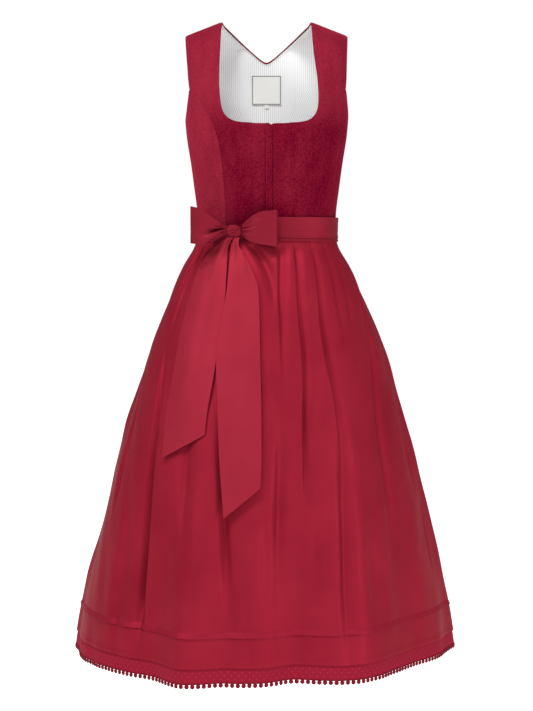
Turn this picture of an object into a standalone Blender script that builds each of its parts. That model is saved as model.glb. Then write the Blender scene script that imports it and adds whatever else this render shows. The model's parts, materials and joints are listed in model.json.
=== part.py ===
"""A dirndl in its worn, hollow form: velvet bodice, dotted skirt, satin apron with a bow. Metres, +Z up, front at -Y.

The origin lies midway between the neck ends of the shoulder seams, where the wearer's shoulders hold the dress.
Azimuth is in degrees: 0 at the centre front, +90 at the wearer's left (+X), 180 at the centre back.
"""

import math

import bpy
import numpy as np

# Cloth and seams
SEAM = 0.0003
HALF = SEAM / 2
VELVET = 0.0015
SATIN = 0.0012
SKIRT_CLOTH = 0.0012
LINING = 0.0010

# Shoulders and waist
NECK_X = 0.0782
TIP_X = 0.1445
SHOULDER_DROP = 0.025
SHOULDER_Y = 0.005
FRONT_ARCH = 0.048
BACK_ARCH = 0.055
SHOULDER_ROWS_Z = -0.095
UNDERARM_Z = -0.172
WAIST_Z = -0.370
FRONT_TURN = 0.007
TURN_FROM_Z = -0.030
TURN_FULL_Z = -0.190
TURN_END_Z = -0.400

# Skirt and apron
FAN = 0.38
FAN_FROM_Z = -0.390
FAN_FULL_Z = -0.730
SWEEP = 0.065
SWEEP_FROM_Z = -0.500
HEM_Z = -1.119
TRIM_Z = -1.127
APRON_TOP_Z = -0.380
APRON_HEM_Z = -1.095
TUCK_Z = (-1.046, -1.036)
APRON_SIDES = (-110.0, 100.0)
SKIRT_SEAMS = (-90.0, 90.0)
FOLDS_FROM_Z = -0.390
FOLDS_FULL_Z = -0.408
SKIRT_HEIGHTS = (-0.370, -0.380, -0.393, -0.408, -0.434, -0.478, -0.540, -0.620, -0.720, -0.830, -0.940, -1.036,
                 -1.046, -1.095, -1.119)

# Waistband, ties and bow
BAND_CLEAR = 0.0021
BAND_HEIGHTS = (-0.392, -0.3845, -0.370, -0.348)
TIE_HEIGHTS = (-0.3845, -0.370, -0.345)
BAND_FLARE = 0.0010
BAND_FLARE_FROM_Z = -0.380
BAND_SIDES = (-118.0, 100.0)
BAND_STEP = 6.0
TIE_KNOT_SIDES = (-31.0, -17.5)
TIE_LEFT_END = 204.0
TIE_SLANT = 260.0
TIE_END_LIFT = 0.0006
TIE_RIGHT_END = -259.7
TIE_OUTSIDE_FROM = -121.0
TIE_INSIDE_FROM = -142.0
TUCK_WALL = 0.0010
LOOP_WALL = 0.0012

# Label, size tab, lap and zip tape
LABEL_CLEAR = 0.0006
LABEL_WALL = 0.0010
LABEL_WIDE = 0.052
LABEL_HEIGHTS = (-0.1375, -0.0855)
TAB_WIDE = 0.008
TAB_HEIGHTS = (-0.1450, -0.1380)
LAP_WALL = 0.0012
LAP_SIDES = (-0.008, 0.003)
ZIP_WALL = 0.0010
ZIP_SIDES = (-0.012, 0.012)

# Grids: the skirt's columns in degrees, and how many columns and rows the smaller pieces have
CLOSEST_COLUMNS = 2.4
WIDEST_COLUMNS = 7.5
PANEL_COLUMNS = 4
LOOP_COLUMNS = 19
LOOP_ROWS = 5
TAIL_ROWS = 16
TAIL_COLUMNS = 4
SHARP_EDGE = math.radians(50)

# Finishes: colour and roughness
VELVET_LOOK = ((0.21, 0.010, 0.022), 0.9)
SATIN_LOOK = ((0.33, 0.018, 0.030), 0.4)
SKIRT_LOOK = ((0.27, 0.011, 0.026), 0.7)
LINING_LOOK = ((0.80, 0.80, 0.82), 0.8)
LABEL_LOOK = ((0.72, 0.72, 0.70), 0.8)
ZIP_LOOK = ((0.15, 0.008, 0.016), 0.8)


def table(columns, rows):
    """Rows of numbers as named columns."""
    return dict(zip(columns.split(), np.array(rows, float).T))


# The bodice's outer surface
BODY = table("height half_width front back squareness", [
    (-0.370, 0.1222, 0.0925, 0.0875, 2.30),
    (-0.335, 0.1240, 0.0965, 0.0880, 2.30),
    (-0.295, 0.1290, 0.1040, 0.0920, 2.30),
    (-0.250, 0.1350, 0.1140, 0.0980, 2.35),
    (-0.205, 0.1420, 0.1220, 0.1030, 2.40),
    (-0.170, 0.1452, 0.1165, 0.1060, 2.50),
    (-0.130, 0.1485, 0.1050, 0.1080, 2.75),
    (-0.090, 0.1530, 0.0930, 0.1075, 3.00),
    (-0.045, 0.1570, 0.0830, 0.1040, 3.10),
    (0.000, 0.1580, 0.0740, 0.0980, 3.20),
])

# The skirt cloth's outer surface between its folds
SKIRT = table("height half_width front back squareness", [
    (-1.127, 0.3390, 0.2860, 0.3040, 2.00),
    (-1.055, 0.3275, 0.2780, 0.2940, 2.00),
    (-0.974, 0.3105, 0.2665, 0.2780, 2.00),
    (-0.866, 0.2850, 0.2470, 0.2530, 2.00),
    (-0.758, 0.2570, 0.2230, 0.2260, 2.00),
    (-0.650, 0.2260, 0.1945, 0.1950, 2.00),
    (-0.569, 0.2020, 0.1700, 0.1700, 2.00),
    (-0.488, 0.1705, 0.1420, 0.1400, 2.10),
    (-0.434, 0.1475, 0.1185, 0.1150, 2.20),
    (-0.396, 0.1262, 0.0985, 0.0940, 2.30),
    (-0.385, 0.1232, 0.0940, 0.0890, 2.30),
    (-0.370, 0.1222, 0.0925, 0.0875, 2.30),
])

# Heights where the rise of each pleat is given: below the band, at the hips, at the knees and at the hem
RISE_HEIGHTS = (-1.119, -0.800, -0.550, -0.408)

# Pleats: cloth azimuth, the side to which they rise, their rise at each of those heights, and their spread
PLEATS = table("at raised hem knee hip band spread", [
    (10.0, -1, 0.0000, 0.0010, 0.0030, 0.0030, 2.0),
    (22.5, -1, 0.0000, 0.0020, 0.0050, 0.0035, 2.2),
    (37.0, -1, 0.0070, 0.0080, 0.0070, 0.0035, 2.6),
    (49.6, -1, 0.0000, 0.0000, 0.0020, 0.0030, 2.0),
    (62.0, -1, 0.0080, 0.0080, 0.0070, 0.0030, 2.8),
    (86.0, -1, 0.0070, 0.0060, 0.0040, 0.0020, 2.8),
    (-8.0, 1, 0.0000, 0.0000, 0.0015, 0.0025, 2.0),
    (-20.6, 1, 0.0070, 0.0060, 0.0030, 0.0025, 2.8),
    (-32.0, 1, 0.0000, 0.0000, 0.0015, 0.0025, 2.0),
    (-42.5, 1, 0.0080, 0.0070, 0.0040, 0.0025, 2.8),
    (-55.0, 1, 0.0000, 0.0000, 0.0020, 0.0030, 2.0),
    (-66.0, 1, 0.0100, 0.0100, 0.0070, 0.0030, 3.0),
    (-81.0, 1, 0.0080, 0.0060, 0.0040, 0.0020, 2.8),
    (107.0, -1, 0.0120, 0.0070, 0.0040, 0.0025, 3.0),
    (120.0, -1, 0.0090, 0.0090, 0.0050, 0.0030, 2.6),
    (132.0, -1, 0.0140, 0.0080, 0.0060, 0.0030, 3.2),
    (145.0, -1, 0.0100, 0.0070, 0.0040, 0.0025, 2.6),
    (157.0, -1, 0.0130, 0.0100, 0.0060, 0.0030, 3.0),
    (170.0, -1, 0.0110, 0.0060, 0.0050, 0.0030, 2.8),
    (-170.0, 1, 0.0120, 0.0080, 0.0050, 0.0030, 3.0),
    (-157.0, 1, 0.0100, 0.0090, 0.0040, 0.0025, 2.6),
    (-144.0, 1, 0.0140, 0.0080, 0.0060, 0.0030, 3.2),
    (-131.0, 1, 0.0090, 0.0060, 0.0050, 0.0025, 2.6),
    (-118.0, 1, 0.0120, 0.0080, 0.0050, 0.0030, 3.0),
])

# Broad waves of the lower skirt: azimuth, height out of the surface at the hem, and spread
WAVES = table("azimuth hem spread", [
    (-22.0, 0.034, 8.0),
    (-5.0, 0.008, 5.0),
    (8.5, -0.022, 7.0),
    (27.0, 0.018, 9.0),
    (50.0, -0.008, 9.0),
    (115.0, 0.016, 10.0),
    (140.0, -0.010, 9.0),
    (163.0, 0.016, 9.0),
    (-172.0, -0.008, 8.0),
    (-150.0, 0.018, 9.0),
    (-120.0, -0.006, 10.0),
])
WAVES_FROM_Z = -0.600

# Front centre panel: its centre line, neckline and strap edge, and beside them its princess seam and armhole
FRONT_ROWS = table("inner_x inner_z outer_x outer_z", [
    (0.0000, -0.3700, 0.0770, -0.3700),
    (0.0000, -0.3360, 0.0785, -0.3360),
    (0.0000, -0.3000, 0.0800, -0.3000),
    (0.0000, -0.2650, 0.0828, -0.2650),
    (0.0000, -0.2350, 0.0865, -0.2350),
    (0.0000, -0.2080, 0.0915, -0.2100),
    (0.0000, -0.1870, 0.0960, -0.1950),
    (0.0280, -0.1866, 0.1000, -0.1850),
    (0.0545, -0.1840, 0.1045, -0.1750),
    (0.0665, -0.1805, 0.1090, -0.1660),
    (0.0760, -0.1738, 0.1140, -0.1560),
    (0.0820, -0.1640, 0.1200, -0.1460),
    (0.0848, -0.1510, 0.1285, -0.1345),
    (0.0858, -0.1340, 0.1380, -0.1230),
    (0.0856, -0.1130, 0.1395, -0.1060),
    (0.0842, -0.0920, 0.1402, -0.0890),
    (0.0820, -0.0690, 0.1410, -0.0730),
    (0.0804, -0.0490, 0.1418, -0.0590),
    (0.0798, -0.0290, 0.1428, -0.0440),
    (0.0790, -0.0120, 0.1437, -0.0320),
    (0.0785, -0.0030, 0.1442, -0.0266),
    (NECK_X, 0.0000, TIP_X, -SHOULDER_DROP),
])
PRINCESS_ROWS = 14

# Back centre panel: its centre line and V neckline, and beside them its curved seam and armhole
BACK_ROWS = table("inner_x inner_z outer_x outer_z", [
    (0.0000, -0.3700, 0.0320, -0.3700),
    (0.0000, -0.3360, 0.0325, -0.3360),
    (0.0000, -0.3000, 0.0340, -0.3000),
    (0.0000, -0.2600, 0.0360, -0.2600),
    (0.0000, -0.2200, 0.0385, -0.2200),
    (0.0000, -0.1820, 0.0415, -0.1840),
    (0.0000, -0.1500, 0.0475, -0.1560),
    (0.0000, -0.1240, 0.0560, -0.1350),
    (0.0000, -0.1000, 0.0670, -0.1180),
    (0.0000, -0.0790, 0.0820, -0.1010),
    (0.0000, -0.0615, 0.0990, -0.0900),
    (0.0154, -0.0525, 0.1180, -0.0840),
    (0.0345, -0.0390, 0.1380, -0.0800),
    (0.0460, -0.0305, 0.1398, -0.0620),
    (0.0565, -0.0215, 0.1412, -0.0500),
    (0.0665, -0.0120, 0.1426, -0.0390),
    (0.0740, -0.0040, 0.1437, -0.0300),
    (NECK_X, 0.0000, TIP_X, -SHOULDER_DROP),
])
BACK_SEAM_ROWS = 13
V_ROW = 10

# Ribbon tails of the bow: left and right edge of each section, in the front view
SHORT_TAIL = table("left_x left_z right_x right_z", [
    (-0.0680, -0.3828, -0.0575, -0.3830),
    (-0.0850, -0.3960, -0.0640, -0.3990),
    (-0.1113, -0.4234, -0.0651, -0.4228),
    (-0.1251, -0.4547, -0.0683, -0.4537),
    (-0.1350, -0.4927, -0.0714, -0.4911),
    (-0.1483, -0.5442, -0.0779, -0.5418),
    (-0.1619, -0.6256, -0.0902, -0.6222),
    (-0.1716, -0.6813, -0.1000, -0.6773),
    (-0.1783, -0.7586, -0.1040, -0.7162),
])
LONG_TAIL = table("left_x left_z right_x right_z", [
    (-0.0555, -0.3830, -0.0470, -0.3830),
    (-0.0628, -0.3969, -0.0479, -0.3968),
    (-0.0635, -0.4159, -0.0373, -0.4158),
    (-0.0657, -0.4485, -0.0216, -0.4482),
    (-0.0688, -0.4775, -0.0136, -0.4771),
    (-0.0799, -0.5469, -0.0114, -0.5461),
    (-0.0854, -0.5972, -0.0104, -0.5962),
    (-0.0826, -0.6684, -0.0088, -0.6674),
    (-0.0791, -0.7523, -0.0084, -0.7512),
    (-0.0715, -0.8509, -0.0100, -0.8011),
])
TAIL_CLEAR = table("height clear", [(-0.800, 0.0190), (-0.450, 0.0115), (-0.382, 0.0155)])
LONG_TAIL_LIFT = 0.0028
LIFT_FROM_Z = -0.3825
LIFT_FULL_Z = -0.3900

# Bow loops: their path seen from above, with the middle height and half the ribbon's width at each section
RIGHT_LOOP = table("x y z half", [
    (-0.0697, -0.1042, -0.3660, 0.0032),
    (-0.0810, -0.1115, -0.3616, 0.0050),
    (-0.0975, -0.1190, -0.3560, 0.0110),
    (-0.1065, -0.1200, -0.3585, 0.0190),
    (-0.1180, -0.1170, -0.3630, 0.0285),
    (-0.1290, -0.1095, -0.3615, 0.0318),
    (-0.1310, -0.1010, -0.3612, 0.0320),
    (-0.1260, -0.0935, -0.3612, 0.0312),
    (-0.1130, -0.0905, -0.3635, 0.0285),
    (-0.0980, -0.0915, -0.3680, 0.0235),
    (-0.0820, -0.0940, -0.3710, 0.0145),
    (-0.0700, -0.0955, -0.3725, 0.0065),
])
LEFT_LOOP = table("x y z half", [
    (-0.0425, -0.1040, -0.3690, 0.0080),
    (-0.0339, -0.1100, -0.3700, 0.0165),
    (-0.0217, -0.1165, -0.3680, 0.0240),
    (-0.0080, -0.1200, -0.3667, 0.0285),
    (0.0070, -0.1200, -0.3670, 0.0302),
    (0.0165, -0.1165, -0.3675, 0.0318),
    (0.0190, -0.1105, -0.3675, 0.0320),
    (0.0150, -0.1050, -0.3675, 0.0312),
    (0.0030, -0.1025, -0.3670, 0.0290),
    (-0.0130, -0.1015, -0.3680, 0.0230),
    (-0.0300, -0.1010, -0.3695, 0.0150),
    (-0.0425, -0.1005, -0.3700, 0.0075),
])
KNOT_CENTRE = (-0.0562, -0.1030, -0.3712)
KNOT_SIZE = (0.0262, 0.0150, 0.0225)
KNOT_ROUNDING = 0.7


def remove_everything():
    for item in list(bpy.data.objects):
        bpy.data.objects.remove(item)


def material(name, colour, roughness):
    made = bpy.data.materials.new(name)
    made.use_nodes = True
    shader = made.node_tree.nodes["Principled BSDF"]
    shader.inputs["Base Color"].default_value = (*colour, 1)
    shader.inputs["Roughness"].default_value = roughness
    shader.inputs["Metallic"].default_value = 0
    return made


def smooth_at(positions, values, where):
    """A smooth curve through the values, with each slope from the neighbours on both sides."""
    order = np.argsort(positions)
    known, value = np.asarray(positions)[order], np.asarray(values)[order]
    slope = np.gradient(value, known)
    where = np.clip(where, known[0], known[-1])
    i = np.clip(np.searchsorted(known, where) - 1, 0, len(known) - 2)
    step = known[i + 1] - known[i]
    t = (where - known[i]) / step
    start = (1 + 2 * t) * (1 - t) ** 2 * value[i] + t * (1 - t) ** 2 * step * slope[i]
    end = t * t * (3 - 2 * t) * value[i + 1] + t * t * (t - 1) * step * slope[i + 1]
    return start + end


def ease(where, begin, end):
    t = np.clip((where - begin) / (end - begin), 0, 1)
    return t * t * (3 - 2 * t)


def column(tab, name, height):
    return smooth_at(tab["height"], tab[name], height)


def section(tab, azimuth, height):
    """X and Y on the rounded outline that the table gives at this height."""
    power = 2 / column(tab, "squareness", height)
    across, ahead = np.sin(np.radians(azimuth)), np.cos(np.radians(azimuth))
    depth = np.where(ahead > 0, column(tab, "front", height), column(tab, "back", height))
    x = column(tab, "half_width", height) * np.sign(across) * np.abs(across) ** power
    y = -np.sign(ahead) * depth * np.abs(ahead) ** power
    return x, y


def shoulder_line(azimuth):
    """Height of the shoulder seam above or below the point where a column of cloth meets it, and the arch there."""
    power = 2 / BODY["squareness"][-1]
    x = BODY["half_width"][-1] * np.abs(np.sin(np.radians(azimuth))) ** power
    height = -SHOULDER_DROP * (x - NECK_X) / (TIP_X - NECK_X)
    arch = np.where(np.cos(np.radians(azimuth)) > 0, FRONT_ARCH, BACK_ARCH)
    return height, arch


def shoulder_end(azimuth):
    """Way along the cloth at the shoulder seam."""
    top, arch = shoulder_line(azimuth)
    return top - arch + arch * math.pi / 2


def body_surface(azimuth, along):
    """The bodice's outer surface; along is the height, and over the shoulder the way along the cloth."""
    top, arch = shoulder_line(azimuth)
    start = top - arch
    bend = np.clip((along - start) / arch, 0, math.pi / 2)
    z = np.where(along < start, along, start + arch * np.sin(bend))
    x, y = section(BODY, azimuth, z)
    y = SHOULDER_Y + (y - SHOULDER_Y) * np.cos(bend)
    x = x + FRONT_TURN * ease(z, TURN_FROM_Z, TURN_FULL_Z) * np.clip(np.cos(np.radians(azimuth)), 0, 1)
    return np.stack([x, y, z], -1)


def pleat_rise(cloth_azimuth, z):
    """How far the pleats lift the cloth: each climbs sharply from its line and falls off slowly behind."""
    total = np.zeros(np.broadcast(cloth_azimuth, z).shape)
    for i, at in enumerate(PLEATS["at"]):
        rises = [PLEATS[name][i] for name in ("hem", "knee", "hip", "band")]
        spread = PLEATS["spread"][i]
        away = (cloth_azimuth - at + 180) % 360 - 180
        away = away * PLEATS["raised"][i]
        width = np.where(away < spread, 0.5, 1.5) * spread
        total = total + smooth_at(RISE_HEIGHTS, rises, z) * np.exp(-(((away - spread) / width) ** 2))
    return total * ease(z, FOLDS_FROM_Z, FOLDS_FULL_Z)


def wave_rise(azimuth, z):
    total = np.zeros(np.broadcast(azimuth, z).shape)
    for at, hem, spread in zip(WAVES["azimuth"], WAVES["hem"], WAVES["spread"]):
        away = (azimuth - at + 180) % 360 - 180
        total = total + hem * np.exp(-((away / spread) ** 2))
    return total * ease(z, WAVES_FROM_Z, TRIM_Z)


def skirt_surface(cloth_azimuth, z, pleated=True):
    """The skirt cloth's outer surface. Columns of cloth fan towards the front as they go down."""
    fan = FAN * ease(z, FAN_FROM_Z, FAN_FULL_Z)
    azimuth = cloth_azimuth - np.degrees(fan * np.sin(np.radians(cloth_azimuth)))
    x, y = section(SKIRT, azimuth, z)
    across = np.sin(np.radians(azimuth))
    swept = SWEEP * np.clip((z - SWEEP_FROM_Z) / (TRIM_Z - SWEEP_FROM_Z), 0, 1) * np.clip(across, 0, 1) ** 2
    rise = pleat_rise(cloth_azimuth, z) + wave_rise(azimuth, z) if pleated else 0 * x
    length = np.hypot(x, y)
    turn = FRONT_TURN * (1 - ease(z, WAIST_Z, TURN_END_Z)) * np.clip(np.cos(np.radians(azimuth)), 0, 1)
    return np.stack([x * (1 + rise / length) + turn, y * (1 + rise / length) + swept, z + 0 * x], -1)


def waist_surface(cloth_azimuth, z):
    """The smooth ring under waistband and ties: the bodice above the waist seam, the skirt's top below it."""
    above = body_surface(cloth_azimuth, np.maximum(z, WAIST_Z))
    below = skirt_surface(cloth_azimuth, np.minimum(z, WAIST_Z), pleated=False)
    return np.where((z > WAIST_Z)[..., None], above, below)


def offset(surface, azimuth, along, distance):
    """Points of the surface moved out along its normal."""
    turn, rise = 0.05, 0.0002
    across = surface(azimuth + turn, along) - surface(azimuth - turn, along)
    up = surface(azimuth, along) - surface(azimuth, along - rise)
    normal = np.cross(across, up)
    normal /= np.linalg.norm(normal, axis=-1, keepdims=True)
    return surface(azimuth, along) + np.asarray(distance)[..., None] * normal


def drawn_in(points, low=0.0, high=0.0, first=0.0, last=0.0):
    """The grid with its edge rows and columns moved towards their neighbours, which leaves the seams open."""
    points = points.copy()
    for edge, beside, gap in ((0, 1, low), (-1, -2, high)):
        way = points[beside] - points[edge]
        points[edge] += gap * way / np.linalg.norm(way, axis=-1, keepdims=True)
    for edge, beside, gap in ((0, 1, first), (-1, -2, last)):
        way = points[:, beside] - points[:, edge]
        points[:, edge] += gap * way / np.linalg.norm(way, axis=-1, keepdims=True)
    return points


def wall(name, outer, inner, look, closed=False, open_rows=0):
    """A closed body between two grids of points, whose rows go up and whose columns go round.

    open_rows leaves that many rows of the first edge without a rim, for a mirror to join.
    """
    facing = np.cross(outer[0, 1] - outer[0, 0], outer[1, 0] - outer[0, 0])
    flipped = np.dot(facing, outer[0, 0] - inner[0, 0]) < 0
    if flipped:
        outer, inner = outer[:, ::-1], inner[:, ::-1]
    rows, columns = outer.shape[:2]
    behind = rows * columns

    def at(j, i):
        return j * columns + i % columns

    round_it = range(columns if closed else columns - 1)
    faces = []
    for j in range(rows - 1):
        for i in round_it:
            corners = (at(j, i), at(j, i + 1), at(j + 1, i + 1), at(j + 1, i))
            faces.append(corners)
            faces.append(tuple(behind + corners[k] for k in (0, 3, 2, 1)))
    rim = [(at(0, i), at(0, i + 1)) for i in round_it]
    rim += [(at(rows - 1, i + 1), at(rows - 1, i)) for i in round_it]
    if not closed:
        last = range(open_rows if flipped else 0, rows - 1)
        first = range(0 if flipped else open_rows, rows - 1)
        rim += [(at(j, columns - 1), at(j + 1, columns - 1)) for j in last]
        rim += [(at(j + 1, 0), at(j, 0)) for j in first]
    faces += [(a, behind + a, behind + b, b) for a, b in rim]
    return body(name, np.concatenate([outer.reshape(-1, 3), inner.reshape(-1, 3)]), faces, look)


def body(name, points, faces, look):
    mesh = bpy.data.meshes.new(name)
    mesh.from_pydata([tuple(map(float, point)) for point in points], [], faces)
    made = bpy.data.objects.new(name, mesh)
    bpy.context.scene.collection.objects.link(made)
    finish(made, look)
    return made


def finish(made, look):
    made.data.materials.append(material(f"{made.name}_cloth", *look))
    made.data.shade_smooth()
    made.data.set_sharp_from_angle(angle=SHARP_EDGE)


def panel(name, surface, grid, outside, thickness, look, edges=None, closed=False, open_rows=0):
    """A wall on a surface: its outer face stands off by the first distance, its inner face lies a wall further in."""
    grids = []
    for distance in (outside, outside - thickness):
        points = offset(surface, *grid, np.zeros(grid[0].shape) + distance)
        grids.append(drawn_in(points, **(edges or {})))
    return wall(name, *grids, look, closed, open_rows)


def on_body(x, z, behind):
    """Azimuth and way along the cloth of a point given in the front view."""
    share = np.clip(np.abs(x) / column(BODY, "half_width", z), 0, 1)
    azimuth = np.degrees(np.arcsin(share ** (column(BODY, "squareness", z) / 2)))
    azimuth = 180 - azimuth if behind else azimuth
    top, arch = shoulder_line(azimuth)
    start = top - arch
    bend = np.arcsin(np.clip((z - start) / arch, 0, 1))
    return np.sign(x) * azimuth if not behind else azimuth, np.where(z < start, z, start + arch * bend)


def half_panel(rows, behind, columns):
    """Grid of a panel at the wearer's left, between the inner and the outer edge of its table."""
    inner = on_body(rows["inner_x"], rows["inner_z"], behind)
    outer = on_body(rows["outer_x"], rows["outer_z"], behind)
    share = np.linspace(0, 1, columns + 1)
    azimuth, along = (a[:, None] * (1 - share) + b[:, None] * share for a, b in zip(inner, outer))
    bowed = shoulder_end(azimuth[-1]) - along[-1]
    return azimuth, along + bowed * ease(rows["outer_z"], SHOULDER_ROWS_Z, -SHOULDER_DROP)[:, None]


def side_panel(rows, count, behind, columns):
    """Grid from a curved seam to the side seam, whose top edge is the lower half of the armhole."""
    azimuth, along = on_body(rows["outer_x"][:count], rows["outer_z"][:count], behind)
    share = np.linspace(0, 1, columns + 1)
    climb = np.linspace(0, 1, count)
    side = WAIST_Z + climb * (UNDERARM_Z - WAIST_Z)
    bent = share + climb[:, None] ** 3 * (np.sin(share * math.pi / 2) - share)
    grid_azimuth = azimuth[:, None] * (1 - share) + 90 * share
    return grid_azimuth, along[:, None] * (1 - bent) + side[:, None] * bent


def mirrored(grid):
    azimuth, along = grid
    return -azimuth[:, ::-1], along[:, ::-1]


def mirror(made):
    """Adds the wearer's right half, joined to the left one at the centre back."""
    halves = made.modifiers.new("right_half", "MIRROR")
    halves.use_axis = (True, False, False)
    halves.merge_threshold = 0.0001


def bodice():
    front = half_panel(FRONT_ROWS, False, PANEL_COLUMNS)
    flank = side_panel(FRONT_ROWS, PRINCESS_ROWS, False, PANEL_COLUMNS)
    behind = side_panel(BACK_ROWS, BACK_SEAM_ROWS, True, PANEL_COLUMNS)
    sewn = dict(low=HALF, first=HALF, last=HALF)
    for hand, way in (("left", tuple), ("right", mirrored)):
        panel(f"front_centre_{hand}", body_surface, way(front), 0, VELVET, VELVET_LOOK, dict(high=HALF, **sewn))
        panel(f"front_side_{hand}", body_surface, way(flank), 0, VELVET, VELVET_LOOK, sewn)
        panel(f"back_side_{hand}", body_surface, way(behind), 0, VELVET, VELVET_LOOK, sewn)
    sewn = dict(low=HALF, high=HALF, last=HALF)
    centre = half_panel(BACK_ROWS, True, PANEL_COLUMNS)
    mirror(panel("back_centre", body_surface, centre, 0, VELVET, VELVET_LOOK, sewn, open_rows=V_ROW))


def lining():
    """The striped lining that shows inside the back, with its label and size tab."""
    outside = -VELVET - SEAM
    behind = side_panel(BACK_ROWS, BACK_SEAM_ROWS, True, PANEL_COLUMNS)
    sewn = dict(low=HALF, first=HALF, last=HALF)
    for hand, way in (("left", tuple), ("right", mirrored)):
        panel(f"lining_side_{hand}", body_surface, way(behind), outside, LINING, LINING_LOOK, sewn)
    centre = half_panel(BACK_ROWS, True, PANEL_COLUMNS)
    sewn = dict(low=HALF, high=HALF, last=HALF)
    mirror(panel("lining_centre", body_surface, centre, outside, LINING, LINING_LOOK, sewn, open_rows=V_ROW))
    inside = outside - LINING - LABEL_CLEAR
    for name, wide, heights in (("label", LABEL_WIDE, LABEL_HEIGHTS), ("size_tab", TAB_WIDE, TAB_HEIGHTS)):
        x, z = np.meshgrid(np.linspace(-wide / 2, wide / 2, 5), np.linspace(*heights, 4))
        azimuth, along = on_body(x, z, True)
        azimuth = np.where(x < 0, 360 - azimuth, azimuth)
        panel(name, body_surface, (azimuth, along), inside, LABEL_WALL, LABEL_LOOK)


def closure():
    """The lap over the centre front and the plain zip tape behind it."""
    for name, sides, outside, thickness, look in (
        ("front_lap", LAP_SIDES, LAP_WALL + SEAM, LAP_WALL, VELVET_LOOK),
        ("zip_tape", ZIP_SIDES, -VELVET - LABEL_CLEAR, ZIP_WALL, ZIP_LOOK),
    ):
        heights = FRONT_ROWS["inner_z"][:7] + np.linspace(0.0006, -0.0015, 7)
        x, z = np.meshgrid(np.linspace(*sides, 5), heights)
        panel(name, body_surface, on_body(x, z, False), outside, thickness, look)


def cloth_columns():
    """Azimuths of the skirt's columns: each pleat's line, crest and foot, the edges of the pieces, and between."""
    edges = [-180.0, *SKIRT_SEAMS, *APRON_SIDES, 180.0]
    kept = list(edges)
    for at, raised, spread in zip(PLEATS["at"], PLEATS["raised"], PLEATS["spread"]):
        for step in (0, 1, 3):
            azimuth = at + raised * spread * step
            if min(abs(azimuth - other) for other in kept) > CLOSEST_COLUMNS:
                kept.append(azimuth)
    kept.sort()
    columns = []
    for one, other in zip(kept, kept[1:]):
        parts = math.ceil((other - one) / WIDEST_COLUMNS)
        columns += list(np.linspace(one, other, parts + 1)[:-1])
    return np.array(columns + [180.0])


def skirt_grid(columns, sides, heights):
    chosen = columns[(columns >= sides[0] - 1e-6) & (columns <= sides[1] + 1e-6)]
    azimuth, z = np.meshgrid(chosen, sorted(heights))
    return azimuth, z


def skirt():
    columns = cloth_columns()
    sewn = dict(low=HALF, high=HALF, first=HALF, last=HALF)
    right, left = SKIRT_SEAMS
    for name, sides in (
        ("skirt_front", (right, left)),
        ("skirt_back_left", (left, 180)),
        ("skirt_back_right", (-180, right)),
    ):
        grid = skirt_grid(columns, sides, SKIRT_HEIGHTS)
        panel(name, skirt_surface, grid, 0, SKIRT_CLOTH, SKIRT_LOOK, sewn)
    hem = skirt_grid(columns[:-1], (-180, 180), (TRIM_Z, HEM_Z))
    panel("hem_trim", skirt_surface, hem, 0, SKIRT_CLOTH, SKIRT_LOOK, dict(high=HALF), closed=True)


def apron():
    """The pleated apron panel over the skirt, the tuck above its hem, and its waistband."""
    columns = cloth_columns()
    heights = [z for z in SKIRT_HEIGHTS if APRON_HEM_Z <= z <= APRON_TOP_Z]
    outside = SEAM + SATIN
    panel("apron", skirt_surface, skirt_grid(columns, APRON_SIDES, heights), outside, SATIN, SATIN_LOOK)
    tuck = skirt_grid(columns, APRON_SIDES, TUCK_Z)
    panel("apron_tuck", skirt_surface, tuck, outside + SEAM + TUCK_WALL, TUCK_WALL, SATIN_LOOK)
    grid = np.meshgrid(band_columns(*BAND_SIDES), sorted(BAND_HEIGHTS))
    panel("apron_waistband", waist_surface, grid, band_distance(grid[1]), SATIN, SATIN_LOOK)


def band_columns(begin, end):
    """Azimuths that all bands share, with the two ends."""
    steps = np.arange(math.ceil(begin / BAND_STEP), math.floor(end / BAND_STEP) + 1) * BAND_STEP
    inside = steps[(steps > begin + BAND_STEP / 3) & (steps < end - BAND_STEP / 3)]
    return np.array([begin, *inside, end])


def band_distance(z):
    """Where the waistband's outer face lies: its lower edge stands off a little over the pleats."""
    return BAND_CLEAR + SATIN + BAND_FLARE * ease(z, BAND_FLARE_FROM_Z, min(BAND_HEIGHTS))


def ties():
    """Both ties. They cross behind, where the one from the wearer's right end runs inside and the other lies on it."""
    layer = SATIN + SEAM
    azimuth, z = np.meshgrid(band_columns(TIE_KNOT_SIDES[1], TIE_LEFT_END), sorted(TIE_HEIGHTS))
    middle = (TIE_HEIGHTS[0] + TIE_HEIGHTS[-1]) / 2
    azimuth = azimuth + TIE_SLANT * (z - middle) * ease(azimuth, TIE_LEFT_END - 20, TIE_LEFT_END)
    lifted = TIE_END_LIFT * ease(azimuth, TIE_LEFT_END - 30, TIE_LEFT_END - 14)
    panel("tie_left", waist_surface, (azimuth, z), band_distance(z) + layer + lifted, SATIN, SATIN_LOOK)
    azimuth, z = np.meshgrid(band_columns(TIE_RIGHT_END, TIE_KNOT_SIDES[0]), sorted(TIE_HEIGHTS))
    over = layer * ease(azimuth, TIE_INSIDE_FROM, TIE_OUTSIDE_FROM)
    panel("tie_right", waist_surface, (azimuth, z), band_distance(z) + over, SATIN, SATIN_LOOK)


def resampled(tab, names, count):
    """Smooth curves through a table's columns, at evenly spaced shares of the way through its rows."""
    rows = np.arange(len(tab[names[0]]))
    where = np.linspace(0, rows[-1], count)
    return [smooth_at(rows, tab[name], where) for name in names]


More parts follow.
